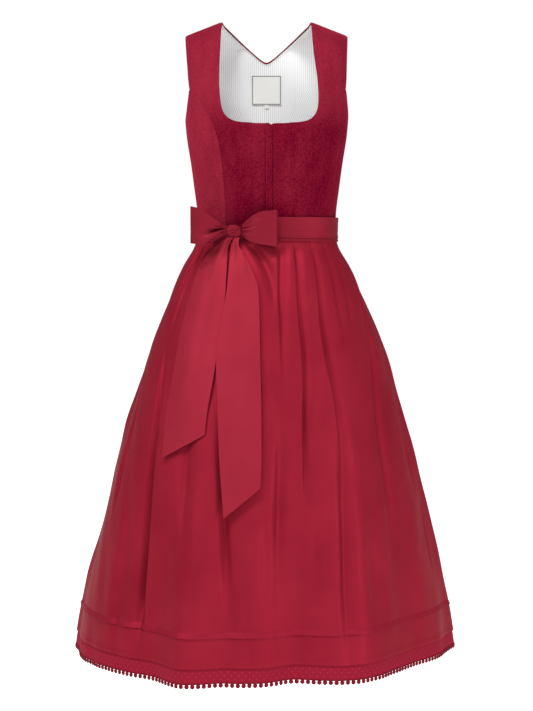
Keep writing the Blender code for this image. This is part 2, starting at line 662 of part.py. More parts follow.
def sheet(name, points, thickness):
    """A cloth sheet through a grid of points, made solid by a modifier."""
    rows, columns = points.shape[:2]
    faces = [(j * columns + i, j * columns + i + 1, (j + 1) * columns + i + 1, (j + 1) * columns + i)
             for j in range(rows - 1) for i in range(columns - 1)]
    made = body(name, points.reshape(-1, 3), faces, SATIN_LOOK)
    thick = made.modifiers.new("cloth", "SOLIDIFY")
    thick.thickness = thickness
    thick.offset = 0
    thick.use_even_offset = True
    return made


def bow():
    """Knot, two loops and two slanted tails at the wearer's right front."""
    for name, tab in (("bow_loop_right", RIGHT_LOOP), ("bow_loop_left", LEFT_LOOP)):
        x, y, z, half = resampled(tab, ("x", "y", "z", "half"), LOOP_COLUMNS)
        share = np.linspace(-1, 1, LOOP_ROWS)[:, None]
        points = np.stack([x + 0 * share, y + 0 * share, z + half * share], -1)
        sheet(name, points, LOOP_WALL)
    for name, tab, lift in (("bow_tail_short", SHORT_TAIL, 0), ("bow_tail_long", LONG_TAIL, LONG_TAIL_LIFT)):
        left_x, left_z, right_x, right_z = resampled(tab, ("left_x", "left_z", "right_x", "right_z"), TAIL_ROWS)
        share = np.linspace(0, 1, TAIL_COLUMNS)[:, None]
        x = left_x * (1 - share) + right_x * share
        z = left_z * (1 - share) + right_z * share
        clear = column(TAIL_CLEAR, "clear", z) + lift * ease(z, LIFT_FROM_Z, LIFT_FULL_Z)
        sheet(name, np.stack([x, front_of_skirt(x, z, clear), z], -1), SATIN)
    bpy.ops.mesh.primitive_uv_sphere_add(segments=14, ring_count=8, radius=0.5, location=KNOT_CENTRE)
    knot = bpy.context.object
    knot.name = "bow_knot"
    for vertex in knot.data.vertices:
        vertex.co = [math.copysign(abs(2 * part) ** KNOT_ROUNDING / 2, part) for part in vertex.co]
    knot.scale = KNOT_SIZE
    bpy.ops.object.transform_apply(location=False, rotation=False, scale=True)
    finish(knot, SATIN_LOOK)


def front_of_skirt(x, z, clear):
    """Y of a sheet that hangs in front of the skirt, clear of it all round by this much."""
    square = column(SKIRT, "squareness", z)
    share = np.abs(x) / (column(SKIRT, "half_width", z) + clear)
    return -(column(SKIRT, "front", z) + clear) * (1 - share ** square) ** (1 / square)


def main():
    remove_everything()
    bodice()
    lining()
    closure()
    skirt()
    apron()
    ties()
    bow()


main()
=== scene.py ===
# %% [markdown]
# # A dirndl in its worn form
#
# A dirndl is a folk dress in layers: a close velvet bodice with a striped lining, a wide cotton skirt
# sewn to it at the waist, and a satin apron whose ties go round the waist twice and end in a bow. Here it
# keeps its worn shape, hollow and open. A coarse model gives the form, and this file dresses it in fine
# cloth: each pattern piece is one sheet with its folds, its wall and its finish.

import json
import math

import bpy
import numpy as np
from mathutils import Matrix, Vector

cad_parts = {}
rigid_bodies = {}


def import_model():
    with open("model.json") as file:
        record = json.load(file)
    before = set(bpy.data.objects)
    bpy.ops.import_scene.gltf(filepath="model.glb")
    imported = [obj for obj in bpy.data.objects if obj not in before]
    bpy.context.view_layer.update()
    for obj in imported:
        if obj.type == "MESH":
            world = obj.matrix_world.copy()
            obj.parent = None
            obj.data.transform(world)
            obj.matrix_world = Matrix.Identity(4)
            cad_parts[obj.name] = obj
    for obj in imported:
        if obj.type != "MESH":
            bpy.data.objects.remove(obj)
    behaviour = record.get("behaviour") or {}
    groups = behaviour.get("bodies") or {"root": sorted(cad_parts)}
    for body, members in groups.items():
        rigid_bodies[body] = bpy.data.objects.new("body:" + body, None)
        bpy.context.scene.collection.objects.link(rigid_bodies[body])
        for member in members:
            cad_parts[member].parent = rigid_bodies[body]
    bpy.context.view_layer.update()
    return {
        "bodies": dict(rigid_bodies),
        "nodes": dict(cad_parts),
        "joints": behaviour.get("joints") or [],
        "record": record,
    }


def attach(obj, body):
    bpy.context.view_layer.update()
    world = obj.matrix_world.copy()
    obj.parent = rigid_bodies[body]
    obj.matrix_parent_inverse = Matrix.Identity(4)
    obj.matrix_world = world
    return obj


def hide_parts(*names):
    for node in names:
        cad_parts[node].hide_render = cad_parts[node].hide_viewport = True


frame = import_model()
bpy.ops.object.select_all(action="DESELECT")

# %% [markdown]
# ## The measures
#
# All lengths are in metres and all azimuths in degrees: 0 is the centre front, +90 the wearer's left, 180
# the centre back. The origin lies between the neck ends of the shoulder seams. Cloth walls are those of
# the solids. Layers lie a seam's gap apart, and the edges of a sewn seam all but meet.

# %% Measures of cloth, shoulders, skirt, apron and bow
SEAM = 0.0003
HALF = 0.00003
VELVET = 0.0015
SATIN = 0.0012
SKIRT_CLOTH = 0.0012
LINING = 0.0010

NECK_X = 0.0782
TIP_X = 0.1445
SHOULDER_DROP = 0.025
SHOULDER_Y = 0.005
FRONT_ARCH = 0.048
BACK_ARCH = 0.055
SHOULDER_ROWS_Z = -0.095
UNDERARM_Z = -0.172
WAIST_Z = -0.370
FRONT_TURN = 0.007
TURN_FROM_Z = -0.030
TURN_FULL_Z = -0.190
TURN_END_Z = -0.400

FAN = 0.38
FAN_FROM_Z = -0.390
FAN_FULL_Z = -0.730
SWEEP = 0.065
SWEEP_FROM_Z = -0.500
HEM_Z = -1.119
TRIM_Z = -1.127
SWAY_FULL_Z = -0.500
SWAY_FADES = 14.0
APRON_TOP_Z = -0.380
APRON_HEM_Z = -1.095
TUCK_Z = (-1.046, -1.036)
APRON_SIDES = (-114.0, 104.0)
FOLDS_FROM_Z = -0.390
FOLDS_FULL_Z = -0.408

BAND_CLEAR = 0.0021
BAND_LOW_Z = -0.3905
BAND_TOP_Z = -0.348
BAND_FLARE = 0.0010
BAND_SIDES = (-118.0, 100.0)
TIE_LOW_Z = -0.3845
TIE_TOP_Z = -0.3470
TIE_KNOT_SIDES = (-31.0, -17.5)
TIE_LEFT_END = 204.0
TIE_SLANT = 260.0
TIE_END_LIFT = 0.0006
TIE_RIGHT_END = -259.7
TIE_OUTSIDE_FROM = -121.0
TIE_INSIDE_FROM = -142.0

# %% [markdown]
# ## The form in tables
#
# A dress form is a stack of rounded outlines. Each row below gives one: its height, half its width, how
# far it reaches to the front and to the back, and how square it is. The pleats of the sides and the back
# are rows too: where the cloth starts to climb, towards which side, and how high it stands at the hem,
# the knee, the hip and the waistband. Waves are the wide swells that the hem makes as it swings.

# %% Tables of the form
def table(columns, rows):
    """Rows of numbers as named columns."""
    return dict(zip(columns.split(), np.array(rows, float).T))


BODY = table("height half_width front back squareness", [
    (-0.370, 0.1222, 0.0925, 0.0875, 2.30),
    (-0.335, 0.1240, 0.0965, 0.0880, 2.30),
    (-0.295, 0.1290, 0.1040, 0.0920, 2.30),
    (-0.250, 0.1350, 0.1140, 0.0980, 2.35),
    (-0.205, 0.1420, 0.1220, 0.1030, 2.40),
    (-0.170, 0.1452, 0.1165, 0.1060, 2.50),
    (-0.130, 0.1485, 0.1050, 0.1080, 2.75),
    (-0.090, 0.1530, 0.0930, 0.1075, 3.00),
    (-0.045, 0.1570, 0.0830, 0.1040, 3.10),
    (0.000, 0.1580, 0.0740, 0.0980, 3.20),
])

SKIRT = table("height half_width front back squareness", [
    (-1.127, 0.3390, 0.2860, 0.3040, 2.00),
    (-1.055, 0.3275, 0.2780, 0.2940, 2.00),
    (-0.974, 0.3105, 0.2665, 0.2780, 2.00),
    (-0.866, 0.2850, 0.2470, 0.2530, 2.00),
    (-0.758, 0.2570, 0.2230, 0.2260, 2.00),
    (-0.650, 0.2260, 0.1945, 0.1950, 2.00),
    (-0.569, 0.2020, 0.1700, 0.1700, 2.00),
    (-0.488, 0.1705, 0.1420, 0.1400, 2.10),
    (-0.434, 0.1475, 0.1185, 0.1150, 2.20),
    (-0.396, 0.1262, 0.0985, 0.0940, 2.30),
    (-0.385, 0.1232, 0.0940, 0.0890, 2.30),
    (-0.370, 0.1222, 0.0925, 0.0875, 2.30),
])

RISE_HEIGHTS = (-1.119, -0.800, -0.550, -0.408)
PLEATS = table("at raised hem knee hip band spread", [
    (107.0, -1, 0.0100, 0.0070, 0.0040, 0.0025, 3.0),
    (120.0, -1, 0.0090, 0.0090, 0.0050, 0.0030, 2.6),
    (132.0, -1, 0.0140, 0.0080, 0.0060, 0.0030, 3.2),
    (145.0, -1, 0.0100, 0.0070, 0.0040, 0.0025, 2.6),
    (157.0, -1, 0.0130, 0.0100, 0.0060, 0.0030, 3.0),
    (170.0, -1, 0.0110, 0.0060, 0.0050, 0.0030, 2.8),
    (-170.0, 1, 0.0120, 0.0080, 0.0050, 0.0030, 3.0),
    (-157.0, 1, 0.0100, 0.0090, 0.0040, 0.0025, 2.6),
    (-144.0, 1, 0.0140, 0.0080, 0.0060, 0.0030, 3.2),
    (-131.0, 1, 0.0090, 0.0060, 0.0050, 0.0025, 2.6),
    (-118.0, 1, 0.0120, 0.0080, 0.0050, 0.0030, 3.0),
])

WAVES = table("azimuth hem spread", [
    (-22.0, 0.034, 8.0),
    (-5.0, 0.008, 5.0),
    (8.5, -0.022, 7.0),
    (27.0, 0.018, 9.0),
    (50.0, -0.008, 9.0),
    (115.0, 0.016, 10.0),
    (140.0, -0.010, 9.0),
    (163.0, 0.016, 9.0),
    (-172.0, -0.008, 8.0),
    (-150.0, 0.018, 9.0),
    (-120.0, -0.006, 10.0),
])
WAVES_FROM_Z = -0.600

# %% [markdown]
# ## The surfaces
#
# A point on the dress is found from its azimuth and its height. A smooth curve through each table's rows
# gives the outline at any height, and over the shoulder the height turns into a way along the cloth. The
# skirt adds its pleats and waves to the outline, and its cloth fans towards the front on the way down, as
# the pleats of the apron do.

# %% Curves through the tables
def smooth_at(positions, values, where):
    """A smooth curve through the values, with each slope from the neighbours on both sides."""
    order = np.argsort(positions)
    known, value = np.asarray(positions)[order], np.asarray(values)[order]
    slope = np.gradient(value, known)
    where = np.clip(where, known[0], known[-1])
    i = np.clip(np.searchsorted(known, where) - 1, 0, len(known) - 2)
    step = known[i + 1] - known[i]
    t = (where - known[i]) / step
    start = (1 + 2 * t) * (1 - t) ** 2 * value[i] + t * (1 - t) ** 2 * step * slope[i]
    end = t * t * (3 - 2 * t) * value[i + 1] + t * t * (t - 1) * step * slope[i + 1]
    return start + end


def ease(where, begin, end):
    """From 0 at the beginning to 1 at the end, with no corner at either."""
    t = np.clip((where - begin) / (end - begin), 0, 1)
    return t * t * (3 - 2 * t)


def bell(away, wide):
    """A bell curve, 1 in its middle and about a third at this width."""
    return np.exp(-((away / wide) ** 2))


def degrees_from(azimuth, at):
    """Degrees from one azimuth to the others, the short way round."""
    return (azimuth - at + 180) % 360 - 180


def column(tab, name, height):
    """One column of a table at this height."""
    return smooth_at(tab["height"], tab[name], height)


def section(tab, azimuth, height):
    """X and Y on the rounded outline that the table gives at this height."""
    power = 2 / column(tab, "squareness", height)
    across, ahead = np.sin(np.radians(azimuth)), np.cos(np.radians(azimuth))
    depth = np.where(ahead > 0, column(tab, "front", height), column(tab, "back", height))
    x = column(tab, "half_width", height) * np.sign(across) * np.abs(across) ** power
    y = -np.sign(ahead) * depth * np.abs(ahead) ** power
    return x, y

# %% The bodice's surface
def shoulder_line(azimuth):
    """Height of the shoulder seam where a column of cloth meets it, and the arch there."""
    power = 2 / BODY["squareness"][-1]
    x = BODY["half_width"][-1] * np.abs(np.sin(np.radians(azimuth))) ** power
    height = -SHOULDER_DROP * (x - NECK_X) / (TIP_X - NECK_X)
    arch = np.where(np.cos(np.radians(azimuth)) > 0, FRONT_ARCH, BACK_ARCH)
    return height, arch


def shoulder_end(azimuth):
    """Way along the cloth at the shoulder seam."""
    top, arch = shoulder_line(azimuth)
    return top - arch + arch * math.pi / 2


def body_surface(azimuth, along):
    """The bodice's outer surface; along is the height, and over the shoulder the way along the cloth."""
    top, arch = shoulder_line(azimuth)
    start = top - arch
    bend = np.clip((along - start) / arch, 0, math.pi / 2)
    z = np.where(along < start, along, start + arch * np.sin(bend))
    x, y = section(BODY, azimuth, z)
    y = SHOULDER_Y + (y - SHOULDER_Y) * np.cos(bend)
    x = x + FRONT_TURN * ease(z, TURN_FROM_Z, TURN_FULL_Z) * np.clip(np.cos(np.radians(azimuth)), 0, 1)
    return np.stack([x, y, z], -1)


def on_body(x, z, behind):
    """Azimuth and way along the cloth of a point given in the front view."""
    share = np.clip(np.abs(x) / column(BODY, "half_width", z), 0, 1)
    azimuth = np.degrees(np.arcsin(share ** (column(BODY, "squareness", z) / 2)))
    azimuth = 180 - azimuth if behind else azimuth
    top, arch = shoulder_line(azimuth)
    start = top - arch
    bend = np.arcsin(np.clip((z - start) / arch, 0, 1))
    return np.sign(x) * azimuth if not behind else azimuth, np.where(z < start, z, start + arch * bend)

# %% [markdown]
# ## Pleats and folds
#
# A knife pleat is crisp where it is sewn into the waistband and dies away below. So the climb at each
# pleat's line is a narrow step at the top and opens to a soft slope at the hem. The folds of the front
# are drawn one by one, each as a trough that wanders down the cloth through a few measured places, crisp
# on the side away from the light and open on the other. They differ in length, depth and spacing, and
# similar ones run down the sides and the back.

# %% How a pleat opens
# Width of a pleat's climb as a share of the pleat: crisp at the waistband, open at the hem
CRISP = 0.20
OPEN = 1.6
CRISP_TO_Z = -0.46
OPEN_FROM_Z = -0.95
PLEAT_FALL = 1.5

# %% Folds of the front
# One list for each fold, from its top down. Each place on it has its distance below the neck, its azimuth,
# its depth, and its half widths at the left and at the right. Lengths are in millimetres here.
FOLDS = [
    [(398, 8.5, 6, 3, 9), (465, 7.8, 7.5, 3, 10), (541, 8.9, 7, 3, 10), (588, 9.8, 3.5, 3.5, 11),
     (666, 11.3, 0, 4, 11)],
    [(591, 3.4, 0, 4, 9), (645, 6.8, 3, 4, 9), (691, 11.3, 0, 4, 9)],
    [(399, 20.4, 6, 3, 8), (465, 19.6, 7, 3, 8), (533, 20.9, 9, 3, 9), (579, 23, 10, 3.2, 9),
     (629, 24.2, 8, 3.2, 10), (700, 23.9, 10, 3.4, 11), (761, 23.2, 7, 4, 13), (848, 21.6, 0, 6, 15)],
    [(399, 35.2, 6, 3, 8), (472, 34.5, 7, 3.2, 8), (528, 34.9, 10, 3.4, 8), (579, 38, 11, 3.4, 8),
     (640, 43.4, 7, 3.4, 9), (711, 45.9, 5, 4, 13), (790, 44.4, 3, 6, 16), (860, 42, 0, 8, 18)],
    [(398, 50.3, 6, 3, 7), (425, 47.9, 6, 3, 8), (464, 47.1, 4, 3.5, 9), (512, 48, 2.5, 4, 10),
     (563, 49.8, 0, 4, 10)],
    [(403, 61, 5, 3, 6), (443, 59, 5, 3.2, 7), (492, 58, 3.5, 4, 8), (547, 57, 0, 4, 8)],
    [(412, 79, 5, 3.4, 8), (452, 77.5, 8.5, 3.6, 10), (498, 76.5, 13, 4, 11), (548, 75.4, 17, 4.4, 12),
     (594, 75, 17, 4.6, 13), (641, 74.6, 13, 5, 14), (728, 73.2, 6, 6, 15), (818, 71, 4, 7, 16),
     (912, 67.7, 2.5, 9, 18), (1020, 62.2, 0, 10, 18)],
    [(527, -70, 0, 4, 8), (605, -71.6, 3, 4, 8), (664, -72.8, 7, 5, 9), (724, -72.4, 14, 5, 10),
     (800, -70.2, 17, 5.5, 11), (884, -67.1, 19, 6, 12), (955, -65.2, 22, 6, 13), (998, -63.9, 17, 6, 13),
     (1030, -62.2, 8, 7, 14), (1080, -58.6, 0, 9, 14)],
    [(715, -73.7, 0, 20, 20), (884, -68.4, 6, 20, 24), (1001, -64.5, 6, 22, 26), (1104, -57.1, 0, 24, 26)],
    [(646, -95, 0, 4, 8), (705, -96.5, 4, 4, 8), (753, -96.5, 9, 4.5, 9), (793, -95, 6, 5, 10),
     (876, -91, 0, 6, 10)],
    [(635, -49.5, 0, 8, 12), (727, -49.2, 4.5, 10, 14), (810, -46.1, 5, 11, 16), (921, -40.6, 0, 13, 18)],
    [(659, -32.1, 0, 6, 11), (749, -28.3, 6, 6, 12), (840, -23.9, 12, 6.5, 12), (897, -21.9, 12.5, 7, 13),
     (961, -19.6, 7, 8, 15), (1049, -17.1, 0, 10, 18)],
    [(682, 8.7, 0, 9, 13), (774, 7.8, 7, 11, 15), (840, 6.9, 10, 12, 16), (906, 6.4, 7, 13, 18),
     (1011, 6.3, 0, 14, 20)],
    [(711, 45.9, 0, 8, 15), (802, 42.5, 7, 10, 17), (876, 40.9, 12, 11, 19), (933, 39.3, 12, 11.5, 20),
     (987, 37.7, 10, 12, 22), (1035, 37, 7, 13, 24), (1111, 35.9, 0, 12, 24)],
    [(703, 97, 0, 6, 8), (770, 94.6, 2.5, 6, 8), (845, 91.9, 0, 6, 8)],
    [(838, 96, 0, 6, 8), (922, 93.8, 3, 6, 8), (991, 91.5, 0, 6, 8)],
    [(914, -78.6, 0, 9, 14), (993, -75.9, 6, 10, 16), (1042, -73.4, 4, 11, 16), (1113, -70.2, 0, 12, 16)],
    [(397, -58.5, 9, 3, 5), (426, -60.1, 9, 3, 5), (466, -63.9, 7, 3.4, 6), (518, -66, 3.5, 4, 8),
     (575, -69.7, 0, 5, 9)],
    [(399, -66.5, 8, 2.8, 4.5), (436, -64.8, 7, 3, 5), (475, -68.9, 3, 3.4, 7), (523, -69.1, 0, 4, 7)],
    [(398, -48.2, 8, 3, 5), (426, -49.9, 7, 3.4, 6), (465, -48.3, 4, 4, 8), (519, -49.4, 0, 5, 8)],
    [(399, -9.2, 11, 5, 8), (425, -2.4, 11, 5.5, 9), (460, 2.4, 7, 6.5, 10), (510, 5.4, 0, 8, 12)],
    [(397, 86, 5, 3, 6), (417, 87.5, 3.5, 3.4, 6), (444, 89.5, 0, 4, 6)],
    [(788, -85.1, 0, 9, 14), (888, -78, 5, 11, 16), (979, -73, 6, 12, 18), (1068, -67.4, 0, 13, 18)],
    [(854, -2.5, 0, 9, 14), (920, -1.3, 3.5, 10, 16), (1000, -1.7, 0, 11, 18)],
    [(863, 54.8, 0, 9, 14), (954, 52, 3.5, 10, 16), (1043, 48.1, 0, 12, 18)],
    [(919, -11.3, 0, 12, 18), (984, -9.8, 3, 13, 20), (1049, -8.5, 4, 14, 22), (1105, -7.4, 3, 14, 22)],
    [(823, 25.7, 0, 8, 12), (906, 25.2, 2.5, 9, 14), (987, 24.1, 0, 10, 14)],
    [(960, 109.5, 0, 12, 10), (1050, 110.5, 7, 12, 10), (1127, 111, 14, 12, 10)],
    [(860, 120, 0, 14, 16), (1000, 121, -4, 14, 16), (1127, 121.5, -11, 12, 16)],
]

# %% Folds of the sides and the back
# The gathers' first and last azimuth and their spacing, and the azimuths of the long folds
HIDDEN_GATHERS = (103.0, 256.0, 6.4)
HIDDEN_LONG = (108.0, 127.0, 149.0, 176.0, 199.0, 221.0, 243.0)
GATHERS_TOP_Z = -0.396
SEED = 11


def hidden_folds():
    """Gathers and long folds like those of the front, for the sides and the back."""
    random = np.random.default_rng(SEED)
    made = []
    for at in np.arange(*HIDDEN_GATHERS):
        at = at + random.uniform(-1.5, 1.5)
        deep = random.uniform(0.0025, 0.0045)
        length = random.uniform(0.05, 0.24)
        drift = random.uniform(-4.0, 4.0)
        made.append([
            (GATHERS_TOP_Z, at, deep, 0.0024, 0.0070),
            (GATHERS_TOP_Z - length / 2, at + drift / 2, deep, 0.0028, 0.0090),
            (GATHERS_TOP_Z - length, at + drift, 0.0, 0.0040, 0.0120),
        ])
    for at in HIDDEN_LONG:
        top = random.uniform(-0.72, -0.56)
        length = random.uniform(0.26, 0.42)
        deep = random.uniform(0.006, 0.010)
        drift = random.uniform(-3.0, 3.0)
        made.append([
            (top, at, 0.0, 0.0060, 0.0160),
            (top - length / 3, at + drift / 3, deep * 0.7, 0.0060, 0.0180),
            (top - length * 2 / 3, at + drift, deep, 0.0070, 0.0220),
            (top - length, at + drift, 0.0, 0.0090, 0.0240),
        ])
    return made


def fold_list():
    """Every fold as its columns: heights, azimuths, depths and half widths at the left and the right."""
    seen = [[(-down / 1000, at, deep / 1000, left / 1000, right / 1000)
             for down, at, deep, left, right in fold] for fold in FOLDS]
    return [np.array(fold).T for fold in seen + hidden_folds()]


FOLD_LIST = fold_list()
print(len(FOLD_LIST), "folds,", len(FOLDS), "of them in front")


# %% Depth of the folds, rise of pleats and waves
def folds_depth(azimuth, z):
    """Depth of the folds: each trough is steep on its left and lies open on its right, towards the light."""
    total = np.zeros(np.broadcast(azimuth, z).shape)
    for height, at, deep, left, right in FOLD_LIST:
        aside = np.radians(degrees_from(azimuth, smooth_at(height, at, z))) * girth(z)
        wide = np.where(aside < 0, smooth_at(height, left, z), smooth_at(height, right, z))
        total += smooth_at(height, deep, z) * bell(aside, wide)
    return total * ease(z, FOLDS_FROM_Z, FOLDS_FULL_Z)


def pleat_rise(cloth_azimuth, z):
    """How far the pleats lift the cloth: each climbs at its line and falls off slowly behind."""
    total = np.zeros(np.broadcast(cloth_azimuth, z).shape)
    climb = CRISP + (OPEN - CRISP) * ease(z, CRISP_TO_Z, OPEN_FROM_Z)
    for at, raised, *rises, spread in zip(*PLEATS.values()):
        away = degrees_from(cloth_azimuth, at) * raised
        top = ease(away, 0, climb * spread) * bell(np.maximum(away - spread, 0), PLEAT_FALL * spread)
        total += smooth_at(RISE_HEIGHTS, rises, z) * top
    return total * ease(z, FOLDS_FROM_Z, FOLDS_FULL_Z)


def wave_rise(azimuth, z):
    """How far the hem's wide waves lift the cloth."""
    total = np.zeros(np.broadcast(azimuth, z).shape)
    for at, hem, spread in zip(*WAVES.values()):
        total += hem * bell(degrees_from(azimuth, at), spread)
    return total * ease(z, WAVES_FROM_Z, TRIM_Z)


# Shares of a trough's length over which it sets in and dies away
FADE_IN = (-0.10, 0.15)
FADE_OUT = (1.15, 0.40)


def troughs(tab, across, z, place):
    """Depth of soft troughs along straight lines; place turns the columns from and to into metres."""
    total = np.zeros(np.broadcast(across, z).shape)
    for from_at, from_z, to_at, to_z, deep, wide in zip(*tab.values()):
        begin = np.array([place(from_at, from_z), from_z])
        way = np.array([place(to_at, to_z), to_z]) - begin
        length = np.hypot(*way)
        along = ((across - begin[0]) * way[0] + (z - begin[1]) * way[1]) / length ** 2
        aside = ((across - begin[0]) * way[1] - (z - begin[1]) * way[0]) / length
        total += deep * bell(aside, wide) * ease(along, *FADE_IN) * ease(along, *FADE_OUT)
    return total


def girth(z):
    """Mean radius of the skirt at this height."""
    return (column(SKIRT, "half_width", z) + column(SKIRT, "front", z)) / 2


def on_girth(azimuth, z):
    """Way round the skirt from its centre front, in metres."""
    return np.radians(azimuth) * girth(z)


# %% The skirt's surface with its folds
# Undulations: a depth and two sine waves, each with its radians per metre across and upwards and its start
SWAYS = (
    (0.0007, (71, 3, 0.7), (0, 13, 1.1)),
    (0.0005, (113, -5, 2.1), (9, 23, 0)),
    (0.0006, (37, 9, 0), (0, 0, math.pi / 2)),
)


def sway(across, z):
    """Long shallow undulations that no cloth is without."""
    return sum(deep * np.sin(a * across + b * z + c) * np.sin(d * across + e * z + f)
               for deep, (a, b, c), (d, e, f) in SWAYS)


def skirt_surface(cloth_azimuth, z, pleated=True):
    """The skirt cloth's outer surface. Columns of cloth fan towards the front as they go down."""
    fan = FAN * ease(z, FAN_FROM_Z, FAN_FULL_Z)
    azimuth = cloth_azimuth - np.degrees(fan * np.sin(np.radians(cloth_azimuth)))
    x, y = section(SKIRT, azimuth, z)
    leftwards = np.clip(np.sin(np.radians(azimuth)), 0, 1)
    swept = SWEEP * np.clip((z - SWEEP_FROM_Z) / (TRIM_Z - SWEEP_FROM_Z), 0, 1) * leftwards ** 2
    rise = 0 * x
    if pleated:
        swaying = sway(on_girth(cloth_azimuth, z), z) * ease(z, FOLDS_FULL_Z, SWAY_FULL_Z)
        swaying = swaying * ease(180 - np.abs(cloth_azimuth), 0, SWAY_FADES)
        rise = pleat_rise(cloth_azimuth, z) + wave_rise(azimuth, z) - folds_depth(cloth_azimuth, z) + swaying
    further = 1 + rise / np.hypot(x, y)
    turn = FRONT_TURN * (1 - ease(z, WAIST_Z, TURN_END_Z)) * np.clip(np.cos(np.radians(azimuth)), 0, 1)
    return np.stack([x * further + turn, y * further + swept, z + 0 * x], -1)


def smooth_skirt(cloth_azimuth, z):
    """The skirt's surface without its pleats and folds."""
    return skirt_surface(cloth_azimuth, z, pleated=False)


def waist_surface(cloth_azimuth, z):
    """The smooth ring under waistband and ties: the bodice above the waist seam, the skirt's top below it."""
    above = body_surface(cloth_azimuth, np.maximum(z, WAIST_Z))
    below = smooth_skirt(cloth_azimuth, np.minimum(z, WAIST_Z))
    return np.where((z > WAIST_Z)[..., None], above, below)

# %% Distances off a surface
def outward(surface, azimuth, along):
    """Unit normals of a surface."""
    turn, rise = 0.05, 0.0002
    across = surface(azimuth + turn, along) - surface(azimuth - turn, along)
    up = surface(azimuth, along) - surface(azimuth, along - rise)
    normal = np.cross(across, up)
    return normal / np.linalg.norm(normal, axis=-1, keepdims=True)


def offset(surface, azimuth, along, distance):
    """Points of the surface moved out along its normal."""
    distance = np.zeros(azimuth.shape) + distance
    return surface(azimuth, along) + distance[..., None] * outward(surface, azimuth, along)


def drawn_in(points, low=0.0, high=0.0, first=0.0, last=0.0):
    """The grid with its edge rows and columns moved towards their neighbours, which leaves the seams open."""
    points = points.copy()
    for edge, beside, gap in ((0, 1, low), (-1, -2, high)):
        way = points[beside] - points[edge]
        points[edge] += gap * way / np.linalg.norm(way, axis=-1, keepdims=True)
    for edge, beside, gap in ((0, 1, first), (-1, -2, last)):
        way = points[:, beside] - points[:, edge]
        points[:, edge] += gap * way / np.linalg.norm(way, axis=-1, keepdims=True)
    return points

# %% [markdown]
# ## One sheet of cloth
#
# Cloth is a sheet before anything else, so each piece starts as a plain grid, whose points are then
# placed one by one on the surface. Its UV map is the cloth laid flat, in metres, so that stripes and dots
# keep their real size through every fold. Solidify gives it its wall towards the inside, and its inner
# face may get a finish of its own.

# %% A grid primitive becomes a cloth piece
SMOOTH_ANGLE = math.radians(40)
MERGE_WITHIN = 0.0002


def laid_flat(points):
    """The cloth laid flat: lengths along each row from its middle, and up the middle column."""
    steps = np.linalg.norm(np.diff(points, axis=1), axis=-1)
    across = np.concatenate([np.zeros((len(points), 1)), np.cumsum(steps, 1)], 1)
    middle = points.shape[1] // 2
    across = across - across[:, middle:middle + 1]
    up = np.concatenate([[0], np.cumsum(np.linalg.norm(np.diff(points[:, middle], axis=0), axis=-1))])
    return np.stack([across, up[:, None] + 0 * across], -1)


def apply_modifiers(piece):
    """Applies the piece's modifiers in their order."""
    for modifier in [each.name for each in piece.modifiers]:
        bpy.ops.object.modifier_apply(modifier=modifier)


def cloth(name, points, wall, flat=None, side=-1, mirrored_half=False, lined=False):
    """Cloth through a grid of points, its wall inwards; lined gives the inner face a finish of its own."""
    rows, columns = points.shape[:2]
    bpy.ops.object.select_all(action="DESELECT")
    bpy.ops.mesh.primitive_grid_add(x_subdivisions=columns - 1, y_subdivisions=rows - 1, size=1)
    piece = bpy.context.object
    piece.name = piece.data.name = name
    mesh = piece.data
    mesh.vertices.foreach_set("co", points.reshape(-1))
    corners = np.empty(len(mesh.loops), np.int32)
    mesh.loops.foreach_get("vertex_index", corners)
    flat = laid_flat(points) if flat is None else flat
    mesh.uv_layers.active.data.foreach_set("uv", flat.reshape(-1, 2)[corners].reshape(-1))
    mesh.update()
    if mirrored_half:
        other = piece.modifiers.new("other_half", "MIRROR")
        other.merge_threshold = MERGE_WITHIN
    thick = piece.modifiers.new("wall", "SOLIDIFY")
    thick.thickness = wall
    thick.offset = side
    if lined:
        thick.material_offset = 1
        thick.material_offset_rim = 0
    apply_modifiers(piece)
    bpy.ops.object.shade_smooth_by_angle(angle=SMOOTH_ANGLE)
    return piece


def sew_in(piece, node, slot, *finishes):
    """The piece stands for a node of the model, moves with the dress and gets its finishes."""
    for finish in finishes:
        piece.data.materials.append(finish)
    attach(piece, "root")
    if node:
        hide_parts(node)
    area = sum(face.area for face in piece.data.polygons) / 2
    print(piece.name, len(piece.data.polygons), "faces", round(area, 4), "m2 of cloth")

# %% [markdown]
# ## Colours and nodes
#
# Colours are the sRGB values that a colour picker would read on the cloth, and the shaders want them
# linear. One small function adds a node with its settings and what it is linked to, which keeps each
# finish readable.

# %% Helpers for materials
def linear(colour):
    """An sRGB hex colour as the linear one, with alpha."""
    parts = [int(colour[i:i + 2], 16) / 255 for i in (1, 3, 5)]
    return (*[part / 12.92 if part <= 0.04045 else ((part + 0.055) / 1.055) ** 2.4 for part in parts], 1.0)


def add(tree, kind, inputs=None, stops=(), **settings):
    """Adds a node. Each input is a plain value or a socket to link; stops are a ramp's places and colours."""
    made = tree.nodes.new(kind)
    for name, value in settings.items():
        setattr(made, name, value)
    for name, value in (inputs or {}).items():
        if isinstance(value, bpy.types.NodeSocket):
            tree.links.new(value, made.inputs[name])
        else:
            made.inputs[name].default_value = value
    for k, (position, colour) in enumerate(stops):
        made.color_ramp.elements[k].position = position
        made.color_ramp.elements[k].color = linear(colour)
    return made


def new_finish(name, **sockets):
    """A material and its tree; plain numbers sit on the shader's own sockets."""
    made = bpy.data.materials.new(name)
    made.use_nodes = True
    shader = made.node_tree.nodes["Principled BSDF"]
    for socket, value in sockets.items():
        shader.inputs[socket.replace("_", " ")].default_value = value
    print("finish", name)
    return made, made.node_tree


